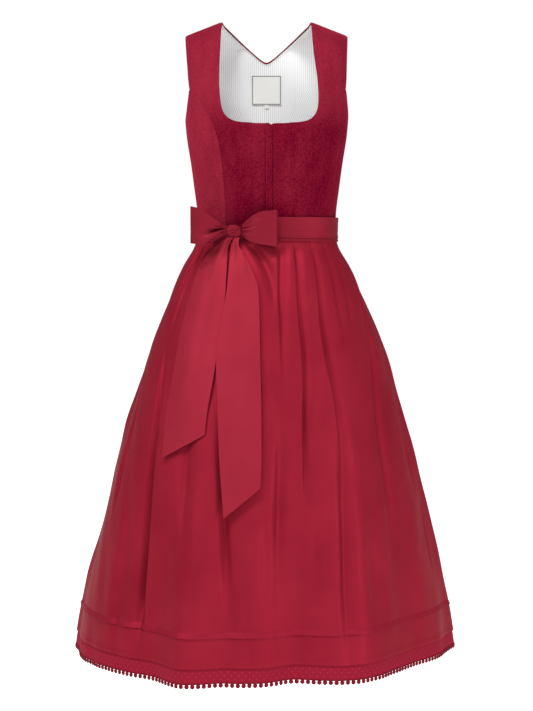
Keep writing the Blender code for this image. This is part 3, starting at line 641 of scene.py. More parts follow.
def wire(tree, **sockets):
    """Links sockets to the shader's inputs of these names."""
    shader = tree.nodes["Principled BSDF"]
    for name, socket in sockets.items():
        tree.links.new(socket, shader.inputs[name.replace("_", " ")])


def bands_per_metre(period):
    """Scale of a wave texture whose bands repeat after this many metres."""
    return 2 * math.pi / 20 / period

# %% [markdown]
# ## Velvet
#
# Silk velvet is woven with a short dense pile. Seen straight on, light falls between its threads and it
# is deep wine red; seen at a slant the pile's sides catch light, which is what the shader's sheen is for.
# The colour is painted paler on the straps and all over one side panel: painted light, where the lamps from
# the upper left fall. The pile has faint clouds some centimetres wide too, and the pile, about half a
# millimetre a tuft, is drawn coarser so that it shows.

# %% The velvet
# Paleness of the velvet's own tone and of its painted light, and how much clouds and tufts change it
VELVET_OWN_PALENESS = 0.22
PAINTED_LIGHT_PALENESS = 0.58
CLOUDS = 0.9
TUFTS = 0.95


def make_velvet(name, painted_light_from_z, painted_light_full_z):
    """Silk velvet with painted light: its colour is paler above these heights."""
    made, tree = new_finish(
        name, Roughness=1.0, Specular_IOR_Level=0.0, Sheen_Weight=0.25, Sheen_Roughness=0.38,
        Sheen_Tint=linear("#F0506C"))
    place = add(tree, "ShaderNodeTexCoord").outputs["Object"]
    parts = add(tree, "ShaderNodeSeparateXYZ", {"Vector": place})
    # Painted light: the colour turns paler from the first height to the second
    painted_light = add(tree, "ShaderNodeMapRange", {
        "Value": parts.outputs["Z"], "From Min": painted_light_from_z, "From Max": painted_light_full_z,
        "To Min": VELVET_OWN_PALENESS, "To Max": PAINTED_LIGHT_PALENESS})
    upright = add(tree, "ShaderNodeMapping", {"Vector": place, "Scale": (1.0, 1.0, 0.30)})
    nap = add(tree, "ShaderNodeTexNoise", {
        "Vector": upright.outputs["Vector"], "Scale": 24.0, "Detail": 5.0, "Roughness": 0.62})
    pile = add(tree, "ShaderNodeTexNoise", {"Vector": place, "Scale": 430.0, "Detail": 2.0})
    cloud = add(tree, "ShaderNodeMath", {0: nap.outputs["Fac"], 1: 0.5}, operation="SUBTRACT")
    tuft = add(tree, "ShaderNodeMath", {0: pile.outputs["Fac"], 1: 0.5}, operation="SUBTRACT")
    clouded = add(tree, "ShaderNodeMath", {
        0: cloud.outputs[0], 1: CLOUDS, 2: painted_light.outputs[0]}, operation="MULTIPLY_ADD")
    shade = add(tree, "ShaderNodeMath", {
        0: tuft.outputs[0], 1: TUFTS, 2: clouded.outputs[0]}, operation="MULTIPLY_ADD")
    colour = add(tree, "ShaderNodeValToRGB", {"Fac": shade.outputs[0]},
                 stops=((0.0, "#520016"), (1.0, "#8A2334")))
    bump = add(tree, "ShaderNodeBump", {"Strength": 0.5, "Distance": 0.0006, "Height": pile.outputs["Fac"]})
    wire(tree, Base_Color=colour.outputs["Color"], Normal=bump.outputs["Normal"])
    return made


# The straps are painted paler as painted light; the second finish is painted paler all over, as painted light
# on a side panel
VELVET_FINISH = make_velvet("silk_velvet", -0.197, -0.148)
PAINTED_LIGHT_VELVET_FINISH = make_velvet("silk_velvet_painted_light", -0.60, -0.50)

# %% [markdown]
# ## Satin
#
# Duchess satin is a close polyester weave whose threads float over several others, which gives a smooth
# face with a broad soft gloss instead of a mirror. Its gloss takes the thread's own red, so the shader is
# a little metallic. The floats run along the cloth. They are about a tenth of a millimetre wide, far too
# fine to show, so the bump draws them one and a half millimetres apart, and the colour barely wanders.
# The waistband, the ties, the bow's loops and its knot are painted a shade deeper, as painted shade. The
# tails are painted a shade lighter, as painted light where they face the lamps, and the tuck is painted
# lighter too, as painted light where it turns up towards the light.

# %% The satin
def make_satin(name, shade, light):
    """Duchess satin that wanders between two tones."""
    made, tree = new_finish(
        name, Metallic=0.28, Specular_IOR_Level=0.05, Specular_Tint=linear("#D8304C"), Sheen_Weight=0.0)
    flat = add(tree, "ShaderNodeTexCoord").outputs["UV"]
    stretched = add(tree, "ShaderNodeMapping", {"Vector": flat, "Scale": (1.0, 0.18, 1.0)})
    floats = add(tree, "ShaderNodeTexNoise", {
        "Vector": stretched.outputs["Vector"], "Scale": 900.0, "Detail": 2.0, "Roughness": 0.5})
    cloud = add(tree, "ShaderNodeTexNoise", {"Vector": flat, "Scale": 9.0, "Detail": 3.0, "Roughness": 0.5})
    colour = add(tree, "ShaderNodeValToRGB", {"Fac": cloud.outputs["Fac"]},
                 stops=((0.30, shade), (0.70, light)))
    gloss = add(tree, "ShaderNodeMapRange", {"Value": floats.outputs["Fac"], "To Min": 0.44, "To Max": 0.54})
    bump = add(tree, "ShaderNodeBump", {
        "Strength": 0.25, "Distance": 0.0004, "Height": floats.outputs["Fac"]})
    wire(tree, Base_Color=colour.outputs["Color"], Roughness=gloss.outputs["Result"],
         Normal=bump.outputs["Normal"])
    return made


SATIN_FINISH = make_satin("duchess_satin", "#7C1727", "#861C2C")
# A shade deeper for waistband, ties, loops and knot: painted shade
PAINTED_SHADE_SATIN_FINISH = make_satin("duchess_satin_painted_shade", "#701826", "#781C2A")
# A shade lighter for the tails: painted light
PAINTED_LIGHT_TAIL_FINISH = make_satin("duchess_satin_tail_painted_light", "#841F2E", "#8C2332")
# Lighter for the tuck: painted light
PAINTED_LIGHT_TUCK_FINISH = make_satin("duchess_satin_tuck_painted_light", "#80182A", "#891D2F")

# %% [markdown]
# ## The skirt's cotton
#
# The skirt is a fine cotton with tiny pale pin dots, staggered and 12 mm apart. A Voronoi texture with no
# randomness is a regular lattice of points; turned by 45 degrees it becomes the staggered one, and the
# distance to its points draws the dots. It reads the cloth laid flat, so the dots stay round and equal in
# every fold.

# %% The dotted cotton
DOT_LATTICE = 0.0085
DOT_RADIUS = 0.0009

# A mix node's sockets for colours: its factor, the colour at 0, the one at 1, and the outcome
FACTOR = 0
GROUND = 6
PATTERN = 7
MIXED = 2


def make_dotted_cotton():
    """Wine red cotton with its lattice of pin dots."""
    made, tree = new_finish(
        "dotted_cotton", Roughness=0.9, Specular_IOR_Level=0.08, Sheen_Weight=0.08,
        Sheen_Tint=linear("#F04058"))
    flat = add(tree, "ShaderNodeTexCoord").outputs["UV"]
    turned = add(tree, "ShaderNodeMapping", {"Vector": flat, "Rotation": (0, 0, math.radians(45))})
    lattice = add(tree, "ShaderNodeTexVoronoi", {
        "Vector": turned.outputs["Vector"], "Scale": 1 / DOT_LATTICE, "Randomness": 0.0},
        voronoi_dimensions="2D")
    edge = DOT_RADIUS / DOT_LATTICE
    dots = add(tree, "ShaderNodeMapRange", {
        "Value": lattice.outputs["Distance"], "From Min": edge * 1.25, "From Max": edge * 0.75})
    weave = add(tree, "ShaderNodeTexNoise", {"Vector": flat, "Scale": 700.0, "Detail": 2.0})
    ground = add(tree, "ShaderNodeValToRGB", {"Fac": weave.outputs["Fac"]},
                 stops=((0.35, "#781024"), (0.65, "#84152A")))
    dotted = add(tree, "ShaderNodeMix", {
        FACTOR: dots.outputs["Result"], GROUND: ground.outputs["Color"], PATTERN: linear("#8E2E44")},
        data_type="RGBA")
    bump = add(tree, "ShaderNodeBump", {
        "Strength": 0.3, "Distance": 0.0004, "Height": weave.outputs["Fac"]})
    wire(tree, Base_Color=dotted.outputs[MIXED], Normal=bump.outputs["Normal"])
    return made


COTTON_FINISH = make_dotted_cotton()

# %% [markdown]
# ## Lining, label, braid and tape
#
# The lining is a white cotton with grey pin stripes that run up the cloth. The real ones are 2.7 mm
# apart, too fine to show, so they are drawn 3.6 mm apart. The sewn-in label is a plain woven square with
# a thin grey border. The scalloped edging is cotton braid, and the closure's tape is a ribbed ribbon.

# %% The striped lining
STRIPE = 0.0036


def make_lining():
    """White cotton with fine grey stripes along the cloth."""
    made, tree = new_finish("striped_lining", Roughness=0.8, Specular_IOR_Level=0.25, Sheen_Weight=0.1)
    flat = add(tree, "ShaderNodeTexCoord").outputs["UV"]
    stripes = add(tree, "ShaderNodeTexWave", {
        "Vector": flat, "Scale": bands_per_metre(STRIPE), "Distortion": 0.0}, bands_direction="X")
    weave = add(tree, "ShaderNodeTexNoise", {"Vector": flat, "Scale": 800.0, "Detail": 1.0})
    colour = add(tree, "ShaderNodeValToRGB", {"Fac": stripes.outputs["Fac"]},
                 stops=((0.15, "#CDCECE"), (0.50, "#E8EAEA")))
    bump = add(tree, "ShaderNodeBump", {
        "Strength": 0.2, "Distance": 0.0003, "Height": weave.outputs["Fac"]})
    wire(tree, Base_Color=colour.outputs["Color"], Normal=bump.outputs["Normal"])
    return made


LINING_FINISH = make_lining()

# %% The woven label
LABEL_WIDE = 0.054
BORDER_AT = 0.0257
BORDER_WIDE = 0.0009


def make_label():
    """A white woven label with a thin grey border."""
    made, tree = new_finish("woven_label", Roughness=0.75, Specular_IOR_Level=0.3)
    flat = add(tree, "ShaderNodeTexCoord").outputs["UV"]
    parts = add(tree, "ShaderNodeSeparateXYZ", {"Vector": flat})
    across = add(tree, "ShaderNodeMath", {0: parts.outputs["X"]}, operation="ABSOLUTE")
    up = add(tree, "ShaderNodeMath", {0: parts.outputs["Y"]}, operation="ABSOLUTE")
    reach = add(tree, "ShaderNodeMath", {0: across.outputs[0], 1: up.outputs[0]}, operation="MAXIMUM")
    border = add(tree, "ShaderNodeMath", {
        0: reach.outputs[0], 1: BORDER_AT, 2: BORDER_WIDE}, operation="COMPARE")
    threads = add(tree, "ShaderNodeTexNoise", {"Vector": flat, "Scale": 900.0, "Detail": 1.0})
    ground = add(tree, "ShaderNodeValToRGB", {"Fac": threads.outputs["Fac"]},
                 stops=((0.3, "#D6D8D5"), (0.7, "#E4E5E2")))
    bordered = add(tree, "ShaderNodeMix", {
        FACTOR: border.outputs[0], GROUND: ground.outputs["Color"], PATTERN: linear("#7E7E7C")},
        data_type="RGBA")
    bump = add(tree, "ShaderNodeBump", {
        "Strength": 0.3, "Distance": 0.0003, "Height": threads.outputs["Fac"]})
    wire(tree, Base_Color=bordered.outputs[MIXED], Normal=bump.outputs["Normal"])
    return made


LABEL_FINISH = make_label()

# %% Braid, tape and thread
def make_yarn(name, dark, light, scale, rough=0.85):
    """Yarn whose threads are seen as a fine noise between two tones."""
    made, tree = new_finish(
        name, Roughness=rough, Specular_IOR_Level=0.08, Sheen_Weight=0.05, Sheen_Tint=linear(light))
    place = add(tree, "ShaderNodeTexCoord").outputs["Object"]
    yarn = add(tree, "ShaderNodeTexNoise", {
        "Vector": place, "Scale": scale, "Detail": 3.0, "Roughness": 0.6})
    colour = add(tree, "ShaderNodeValToRGB", {"Fac": yarn.outputs["Fac"]},
                 stops=((0.35, dark), (0.65, light)))
    bump = add(tree, "ShaderNodeBump", {"Strength": 0.6, "Distance": 0.0006, "Height": yarn.outputs["Fac"]})
    wire(tree, Base_Color=colour.outputs["Color"], Normal=bump.outputs["Normal"])
    return made


BRAID_FINISH = make_yarn("cotton_braid", "#560814", "#7A1022", 700.0)
TAPE_FINISH = make_yarn("closure_tape", "#5A0C1C", "#701426", 900.0)
THREAD_FINISH = make_yarn("sewing_thread", "#7A1028", "#962038", 1500.0, rough=0.6)

# %% [markdown]
# ## The bodice's pattern pieces
#
# A bodice is cut in panels that a curved seam shapes to the body. Each table gives one panel's inner and
# outer edge, row by row, in the front view. Along every edge the velvet turns in a little, which is what
# makes a seam read as a seam and a neckline as a turned edge. The rows are refined with a smooth curve
# between the true corners only.

# %% Pattern tables of the bodice
FRONT_ROWS = table("row inner_x inner_z outer_x outer_z", [
    (0.0, 0.0000, -0.3700, 0.0770, -0.3700),
    (1.0, 0.0000, -0.3360, 0.0785, -0.3360),
    (2.0, 0.0000, -0.3000, 0.0800, -0.3000),
    (3.0, 0.0000, -0.2650, 0.0828, -0.2650),
    (4.0, 0.0000, -0.2350, 0.0865, -0.2350),
    (5.0, 0.0000, -0.2080, 0.0915, -0.2100),
    (6.0, 0.0000, -0.1904, 0.0960, -0.1950),
    (6.3, 0.0030, -0.1884, 0.0968, -0.1930),
    (6.6, 0.0085, -0.1871, 0.0978, -0.1902),
    (7.0, 0.0280, -0.1866, 0.1000, -0.1850),
    (8.0, 0.0545, -0.1840, 0.1045, -0.1750),
    (9.0, 0.0665, -0.1805, 0.1090, -0.1660),
    (10.0, 0.0760, -0.1738, 0.1140, -0.1560),
    (11.0, 0.0820, -0.1640, 0.1200, -0.1460),
    (12.0, 0.0848, -0.1510, 0.1285, -0.1345),
    (13.0, 0.0858, -0.1340, 0.1380, -0.1230),
    (14.0, 0.0856, -0.1130, 0.1395, -0.1060),
    (15.0, 0.0842, -0.0920, 0.1402, -0.0890),
    (16.0, 0.0820, -0.0690, 0.1410, -0.0730),
    (17.0, 0.0804, -0.0490, 0.1418, -0.0590),
    (18.0, 0.0798, -0.0290, 0.1428, -0.0440),
    (19.0, 0.0790, -0.0120, 0.1437, -0.0320),
    (20.0, 0.0785, -0.0030, 0.1442, -0.0266),
    (21.0, NECK_X, 0.0000, TIP_X, -SHOULDER_DROP),
])
FRONT_CORNERS = (6.0, 13.0)

BACK_ROWS = table("row inner_x inner_z outer_x outer_z", [
    (0.0, 0.0000, -0.3700, 0.0320, -0.3700),
    (1.0, 0.0000, -0.3360, 0.0325, -0.3360),
    (2.0, 0.0000, -0.3000, 0.0340, -0.3000),
    (3.0, 0.0000, -0.2600, 0.0360, -0.2600),
    (4.0, 0.0000, -0.2200, 0.0385, -0.2200),
    (5.0, 0.0000, -0.1820, 0.0415, -0.1840),
    (6.0, 0.0000, -0.1500, 0.0475, -0.1560),
    (7.0, 0.0000, -0.1240, 0.0560, -0.1350),
    (8.0, 0.0000, -0.1000, 0.0670, -0.1180),
    (9.0, 0.0000, -0.0790, 0.0820, -0.1010),
    (10.0, 0.0000, -0.0606, 0.0990, -0.0900),
    (10.2, 0.0030, -0.0600, 0.1028, -0.0888),
    (10.5, 0.0074, -0.0576, 0.1085, -0.0870),
    (11.0, 0.0154, -0.0520, 0.1180, -0.0840),
    (12.0, 0.0345, -0.0352, 0.1380, -0.0800),
    (13.0, 0.0460, -0.0250, 0.1398, -0.0620),
    (14.0, 0.0565, -0.0160, 0.1412, -0.0500),
    (15.0, 0.0665, -0.0080, 0.1426, -0.0390),
    (16.0, 0.0740, -0.0030, 0.1437, -0.0300),
    (17.0, NECK_X, 0.0000, TIP_X, -SHOULDER_DROP),
])
BACK_CORNERS = (10.0, 12.0)
ROWS_EACH = 5


def row_at(rows, number):
    """Where the row with this number stands in its table."""
    return int(np.argmin(np.abs(rows["row"] - number)))


def finer(rows, corners):
    """The table with more rows, smooth from one corner row to the next."""
    ends = [0, *[row_at(rows, corner) for corner in corners], len(rows["row"]) - 1]
    made = {name: [] for name in rows}
    for one, other in zip(ends, ends[1:]):
        where = np.linspace(one, other, (other - one) * ROWS_EACH + 1)[(0 if one == 0 else 1):]
        for name, values in rows.items():
            made[name].append(smooth_at(np.arange(one, other + 1), values[one:other + 1], where))
    return {name: np.concatenate(parts) for name, parts in made.items()}


FINE_FRONT = finer(FRONT_ROWS, FRONT_CORNERS)
FINE_BACK = finer(BACK_ROWS, BACK_CORNERS)
FOLD_ROW = row_at(FINE_BACK, BACK_CORNERS[0])
print("pattern rows:", len(FINE_FRONT["row"]), "in front,", len(FINE_BACK["row"]), "behind")

# %% Grids of the bodice's panels
COLUMNS = 40
CROWDED = 0.75
SIDE_SEAM = 90.0
ROLL_DEEP = 0.0011
ROLL_WIDE = 0.0026


def shares(count=COLUMNS):
    """Shares of a panel's width, closer together near both edges."""
    t = np.linspace(0, 1, count + 1)
    return t - CROWDED * np.sin(2 * math.pi * t) / (2 * math.pi)


def half_panel(rows, behind):
    """Grid of a panel at the wearer's left, between the inner and the outer edge of its table."""
    inner = on_body(rows["inner_x"], rows["inner_z"], behind)
    outer = on_body(rows["outer_x"], rows["outer_z"], behind)
    share = shares()
    azimuth, along = (a[:, None] * (1 - share) + b[:, None] * share for a, b in zip(inner, outer))
    bowed = shoulder_end(azimuth[-1]) - along[-1]
    return azimuth, along + bowed * ease(rows["outer_z"], SHOULDER_ROWS_Z, -SHOULDER_DROP)[:, None]


def side_panel(rows, last_row, behind):
    """Grid from a curved seam to the side seam, whose top edge is the lower half of the armhole."""
    count = row_at(rows, last_row) + 1
    azimuth, along = on_body(rows["outer_x"][:count], rows["outer_z"][:count], behind)
    share = shares()
    climb = rows["row"][:count] / last_row
    side = WAIST_Z + climb * (UNDERARM_Z - WAIST_Z)
    bent = share + climb[:, None] ** 3 * (np.sin(share * math.pi / 2) - share)
    across = azimuth[:, None] * (1 - share) + SIDE_SEAM * share
    return across, along[:, None] * (1 - bent) + side[:, None] * bent


def facing_out(grid):
    """The grid with its columns in the order of rising azimuth, which turns its faces outwards."""
    return tuple(part[:, ::-1] for part in grid) if grid[0][0, -1] < grid[0][0, 0] else grid


def left_hand(grid):
    """The grid as it is, at the wearer's left."""
    return grid


def right_hand(grid):
    """The same grid at the wearer's right."""
    return -grid[0], grid[1]


HANDS = (("left", left_hand), ("right", right_hand))


# %% Turned edges and soft pulls
STEPS_BETWEEN = 6


def distance_to(points, edge):
    """Distance of each point of a grid from an edge of it."""
    share = np.linspace(0, 1, STEPS_BETWEEN, endpoint=False)[:, None, None]
    line = (edge[:-1] * (1 - share) + edge[1:] * share).reshape(-1, 3)
    line = np.concatenate([line, edge[-1:]])
    return np.linalg.norm(points[:, :, None] - line, axis=-1).min(-1)


def turned_in(points, edges):
    """How far the cloth turns in beside its named edges."""
    lines = {"low": points[0], "high": points[-1], "first": points[:, 0], "last": points[:, -1]}
    return sum(ROLL_DEEP * bell(distance_to(points, lines[edge]), ROLL_WIDE) for edge in edges)


# Soft pulls in the velvet, in the front view: from x and z to x and z, depth and half width
FRONT_PULLS = table("from_x from_z to_x to_z deep wide", [
    (-0.030, -0.196, -0.072, -0.216, 0.0007, 0.006),
    (0.030, -0.192, 0.010, -0.200, 0.0007, 0.003),
    (0.034, -0.203, 0.012, -0.207, 0.0005, 0.003),
    (0.045, -0.212, 0.085, -0.236, 0.0008, 0.008),
    (-0.090, -0.330, -0.112, -0.352, 0.0010, 0.006),
    (0.092, -0.325, 0.114, -0.350, 0.0010, 0.006),
    (-0.040, -0.340, -0.015, -0.352, 0.0007, 0.005),
    (0.036, -0.338, 0.060, -0.350, 0.0007, 0.005),
    (-0.128, -0.150, -0.110, -0.185, 0.0010, 0.008),
    (0.128, -0.150, 0.108, -0.185, 0.0010, 0.008),
])
BACK_PULLS = table("from_x from_z to_x to_z deep wide", [
    (-0.090, -0.325, -0.060, -0.352, 0.0012, 0.008),
    (0.090, -0.325, 0.060, -0.352, 0.0012, 0.008),
    (-0.100, -0.120, -0.060, -0.150, 0.0010, 0.010),
    (0.100, -0.120, 0.060, -0.150, 0.0010, 0.010),
    (-0.020, -0.330, 0.020, -0.345, 0.0008, 0.007),
    (-0.050, -0.290, -0.020, -0.300, 0.0007, 0.007),
    (0.052, -0.300, 0.022, -0.310, 0.0007, 0.007),
])


def as_it_is(x, z):
    """For tables whose places are in metres already."""
    return x


def velvet_points(grid, edges, pulls, gaps):
    """Points of a velvet panel: turned in at its edges, with its pulls, and drawn in at its seams."""
    grid = facing_out(grid)
    plain = body_surface(*grid)
    sunk = turned_in(plain, edges) + troughs(pulls, plain[..., 0], plain[..., 2], as_it_is)
    return drawn_in(offset(body_surface, *grid, -sunk), **gaps)

# %% [markdown]
# ## Front of the bodice
#
# Two centre panels with the straps, and two side panels under the arms. Their inner faces carry the
# lining's finish, because the lining of the front lies flat against the velvet and only its colour shows.

# %% Front panels
ALL_EDGES = ("low", "high", "first", "last")
SEWN = dict(low=HALF, high=HALF, first=HALF, last=HALF)

front_half = half_panel(FINE_FRONT, False)
front_flank = side_panel(FINE_FRONT, FRONT_CORNERS[1], False)
for hand, placed in HANDS:
    points = velvet_points(placed(front_half), ALL_EDGES, FRONT_PULLS, SEWN)
    panel = cloth(f"front_centre_{hand}_velvet", points, VELVET, lined=True)
    sew_in(panel, f"front_centre_{hand}", "velvet", VELVET_FINISH, LINING_FINISH)
    points = velvet_points(placed(front_flank), ALL_EDGES, FRONT_PULLS, dict(SEWN, high=0.0))
    panel = cloth(f"front_side_{hand}_velvet", points, VELVET, lined=True)
    # The side panel at the wearer's right, towards the lamps at the upper left, is painted paler as painted
    # light
    finish = PAINTED_LIGHT_VELVET_FINISH if hand == "right" else VELVET_FINISH
    sew_in(panel, f"front_side_{hand}", "velvet", finish, LINING_FINISH)

# %% [markdown]
# ## Back of the bodice with its lining
#
# The back centre is cut on the fold, so one half is built and mirrored over the centre line. Its V
# neckline opens above the fold. The lining repeats the same panels further in, ends a little below the
# velvet's turned edge, and shows its stripes and its two curved seams through the neckline. Above it a
# narrow satin facing shows.

# %% Back panels and lining
LINING_BACK = -VELVET - SEAM
FACING = 0.0036
FACING_BEND = 12
BACK_SEWN = dict(low=HALF, high=HALF, first=HALF)


def half_flat(points, grid):
    """The half panel laid flat with its stripes upright: across is the distance from the centre line."""
    across = np.abs(points[..., 0])
    return np.stack([across, grid[1]], -1)


back_half = half_panel(FINE_BACK, True)
back_flank = side_panel(FINE_BACK, BACK_CORNERS[1], True)


def half_back(outside, edges, gaps):
    """Points of the left half of the back centre; its last column is the fold, on the middle plane."""
    grid = facing_out(back_half)
    plain = body_surface(*grid)
    sunk = turned_in(plain, edges) + troughs(BACK_PULLS, plain[..., 0], plain[..., 2], as_it_is)
    sunk = sunk + ROLL_DEEP * bell(distance_to(plain, plain[FOLD_ROW:, -1]), ROLL_WIDE)
    points = drawn_in(offset(body_surface, *grid, outside - sunk), **gaps)
    points[:FOLD_ROW + 1, -1, 0] = 0.0
    return points, grid


points, grid = half_back(0.0, list(BACK_SEWN), BACK_SEWN)
back = cloth("back_centre_velvet", points, VELVET, mirrored_half=True, lined=True)
sew_in(back, "back_centre", "velvet", VELVET_FINISH, SATIN_FINISH)

points, grid = half_back(LINING_BACK, (), dict(BACK_SEWN, high=FACING))
points[FOLD_ROW:, :, 2] -= FACING * np.linspace(0, 1, points.shape[1]) ** FACING_BEND
inner = cloth("lining_centre_cotton", points, LINING, flat=half_flat(points, grid), mirrored_half=True)
sew_in(inner, "lining_centre", "lining", LINING_FINISH)

for hand, placed in HANDS:
    points = velvet_points(placed(back_flank), ALL_EDGES, BACK_PULLS, dict(SEWN, high=0.0))
    panel = cloth(f"back_side_{hand}_velvet", points, VELVET)
    sew_in(panel, f"back_side_{hand}", "velvet", VELVET_FINISH)
    points = offset(body_surface, *facing_out(placed(back_flank)), LINING_BACK)
    panel = cloth(f"lining_side_{hand}_cotton", drawn_in(points, **dict(SEWN, high=FACING)), LINING)
    sew_in(panel, f"lining_side_{hand}", "lining", LINING_FINISH)

# %% [markdown]
# ## Label and size tab
#
# A sewn label is a folded woven square. It follows the lining, and its corners stand off a little.

# %% Label and tab
LABEL_CLEAR = 0.0006
LABEL_WALL = 0.0009
LABEL_HEIGHTS = (-0.1382, -0.0842)
TAB_WIDE = 0.008
TAB_HEIGHTS = (-0.1450, -0.1380)
CORNER_LIFT = 0.0007
LABEL_POINTS = 25

for name, wide, heights in (("label", LABEL_WIDE, LABEL_HEIGHTS), ("size_tab", TAB_WIDE, TAB_HEIGHTS)):
    x, z = np.meshgrid(np.linspace(wide / 2, -wide / 2, LABEL_POINTS), np.linspace(*heights, LABEL_POINTS))
    azimuth, along = on_body(x, z, True)
    azimuth = np.where(x < 0, 360 - azimuth, azimuth)
    middle = sum(heights) / 2
    lift = CORNER_LIFT * (np.abs(x) / wide * 2 * np.abs(z - middle) / (heights[1] - heights[0]) * 2) ** 3
    inside = LINING_BACK - LINING - LABEL_CLEAR - lift
    points = offset(body_surface, azimuth, along, inside)
    piece = cloth(f"{name}_woven", points, LABEL_WALL, flat=np.stack([x, z - middle], -1))
    sew_in(piece, name, "label", LABEL_FINISH)

# %% [markdown]
# ## Lap and closure
#
# The hidden zip lies behind a narrow velvet lap at the centre front. The lap's left edge is stitched
# down, its right edge is free and rounded off at the neckline, which leaves the small notch there. Behind
# it a woven tape carries two rows of small teeth, modelled once and copied.

# %% Lap over the centre front
LAP_WALL = 0.0012
LAP_SIDES = (-0.0080, 0.0030)
LAP_TOP_Z = -0.1872
LAP_CORNER = 0.0038
CORNER_FROM_X = -0.0045
ABOVE_WAIST = 0.0006
LAP_SWELL = 0.0005
LAP_RIPPLE = 0.00025
RIPPLES = 260
RIPPLES_AT = 0.002
RIPPLES_WIDE = 0.004
LAP_ROUND = 0.6
LAP_COLUMNS = 15
LAP_ROWS = 90

x, share = np.meshgrid(np.linspace(*LAP_SIDES, LAP_COLUMNS), np.linspace(0, 1, LAP_ROWS))
top = LAP_TOP_Z - LAP_CORNER * ease(x, CORNER_FROM_X, LAP_SIDES[1])
z = (WAIST_Z + ABOVE_WAIST) * (1 - share) + top * share
swell = LAP_SWELL * np.sin(math.pi * (x - LAP_SIDES[0]) / (LAP_SIDES[1] - LAP_SIDES[0])) ** LAP_ROUND
swell = swell + LAP_RIPPLE * np.sin(z * RIPPLES) * bell(x - RIPPLES_AT, RIPPLES_WIDE)
points = offset(body_surface, *on_body(x, z, False), LAP_WALL + SEAM + swell)
sew_in(cloth("front_lap_velvet", points, LAP_WALL), "front_lap", "velvet", VELVET_FINISH)

# %% Tape and teeth behind the lap
TAPE_WALL = 0.0010
TAPE_SIDES = (-0.012, 0.012)
TAPE_TOP_Z = -0.1905
TEETH_PITCH = 0.0022
TEETH_HEIGHTS = (WAIST_Z + 0.004, -0.194)
TOOTH = (0.0026, 0.0012, 0.0011)
TOOTH_ASIDE = 0.0006
TOOTH_PROUD = 0.4
TAPE_BACK = -VELVET - LABEL_CLEAR
TAPE_COLUMNS = 13
TAPE_ROWS = 60

upwards = np.linspace(WAIST_Z + ABOVE_WAIST, TAPE_TOP_Z, TAPE_ROWS)
x, z = np.meshgrid(np.linspace(*TAPE_SIDES, TAPE_COLUMNS), upwards)
points = offset(body_surface, *on_body(x, z, False), TAPE_BACK)
sew_in(cloth("zip_tape_woven", points, TAPE_WALL), "zip_tape", "zip_tape", TAPE_FINISH)


def place_copies(name, model, frames):
    """Copies of a small model, one for each place and turn, joined into one piece; the model itself goes."""
    copies = []
    for place, turn in frames:
        one = model.copy()
        one.data = model.data.copy()
        bpy.context.collection.objects.link(one)
        one.data.transform(Matrix.Translation(place) @ turn.to_4x4())
        copies.append(one)
    bpy.data.objects.remove(model)
    bpy.ops.object.select_all(action="DESELECT")
    for one in copies:
        one.select_set(True)
    bpy.context.view_layer.objects.active = copies[0]
    bpy.ops.object.join()
    joined = bpy.context.object
    joined.name = joined.data.name = name
    bpy.ops.object.shade_smooth_by_angle(angle=SMOOTH_ANGLE)
    return joined


def small_ball(segments, rings, size):
    """A small ball to copy, applied to its size."""
    bpy.ops.object.select_all(action="DESELECT")
    bpy.ops.mesh.primitive_uv_sphere_add(segments=segments, ring_count=rings, radius=0.5)
    ball = bpy.context.object
    ball.scale = size
    bpy.ops.object.transform_apply(location=False, rotation=False, scale=True)
    return ball


frames = []
for k, height in enumerate(np.arange(*TEETH_HEIGHTS, TEETH_PITCH)):
    aside = TOOTH_ASIDE if k % 2 else -TOOTH_ASIDE
    grid = on_body(np.array([aside]), np.array([height]), False)
    place = offset(body_surface, *grid, TAPE_BACK - TAPE_WALL - TOOTH[1] * TOOTH_PROUD)[0]
    frames.append((Vector(place), Matrix.Identity(3)))
teeth = place_copies("zip_teeth", small_ball(8, 5, TOOTH), frames)
sew_in(teeth, None, "zip_tape", TAPE_FINISH)

# %% [markdown]
# ## Stitches
#
# A stitch is a thread that dips into the cloth at both ends, so a small long ball, half sunk, does for
# each. The lap's edge has one row of them and the closure beside it another.

# %% Stitch rows at the closure
STITCH = (0.0007, 0.0006, 0.0026)
STITCH_PITCH = 0.0034
STITCHES_FROM_Z = WAIST_Z + 0.022
STITCH_ROWS = (
    # x, top and distance off the bodice of each row
    (LAP_SIDES[0] + 0.0011, -0.189, LAP_WALL + SEAM + 0.0004),
    (0.0072, -0.190, 0.0001),
)


def stitch_frames(x, top, stand_off):
    """Frames of an upright row of stitches on the front of the bodice."""
    frames = []
    for height in np.arange(STITCHES_FROM_Z, top, STITCH_PITCH):
        grid = on_body(np.array([x, x]), np.array([height, height + 0.001]), False)
        places = offset(body_surface, *grid, stand_off)
        up = Vector(places[1] - places[0]).normalized()
        turn = up.to_track_quat("Z", "X").to_matrix()
        frames.append((Vector(places[0]), turn))
    return frames


frames = [frame for row in STITCH_ROWS for frame in stitch_frames(*row)]
stitches = place_copies("closure_stitches", small_ball(8, 6, STITCH), frames)
sew_in(stitches, None, "velvet", THREAD_FINISH)

# %% [markdown]
# ## The skirt
#
# Three widths of cotton with seams at both sides and at the centre back. Under the apron the front lies a
# little deeper, as pressed cloth does.

# %% Skirt panels
UNDER_APRON = 0.0018
COVER_FROM_Z = -0.385
COVER_FULL_Z = -0.400
COVER_SIDES = (1, 3)
COVER_HEM = (0.004, 0.012)
CLOSER_ROWS_Z = -0.460
LOW_ROWS = 78
TOP_ROWS = 22
SKIRT_PANELS = (
    # name, first and last azimuth, columns
    ("skirt_front", (-SIDE_SEAM, SIDE_SEAM), 300),
    ("skirt_back_left", (SIDE_SEAM, 180.0), 240),
    ("skirt_back_right", (-180.0, -SIDE_SEAM), 240),
)


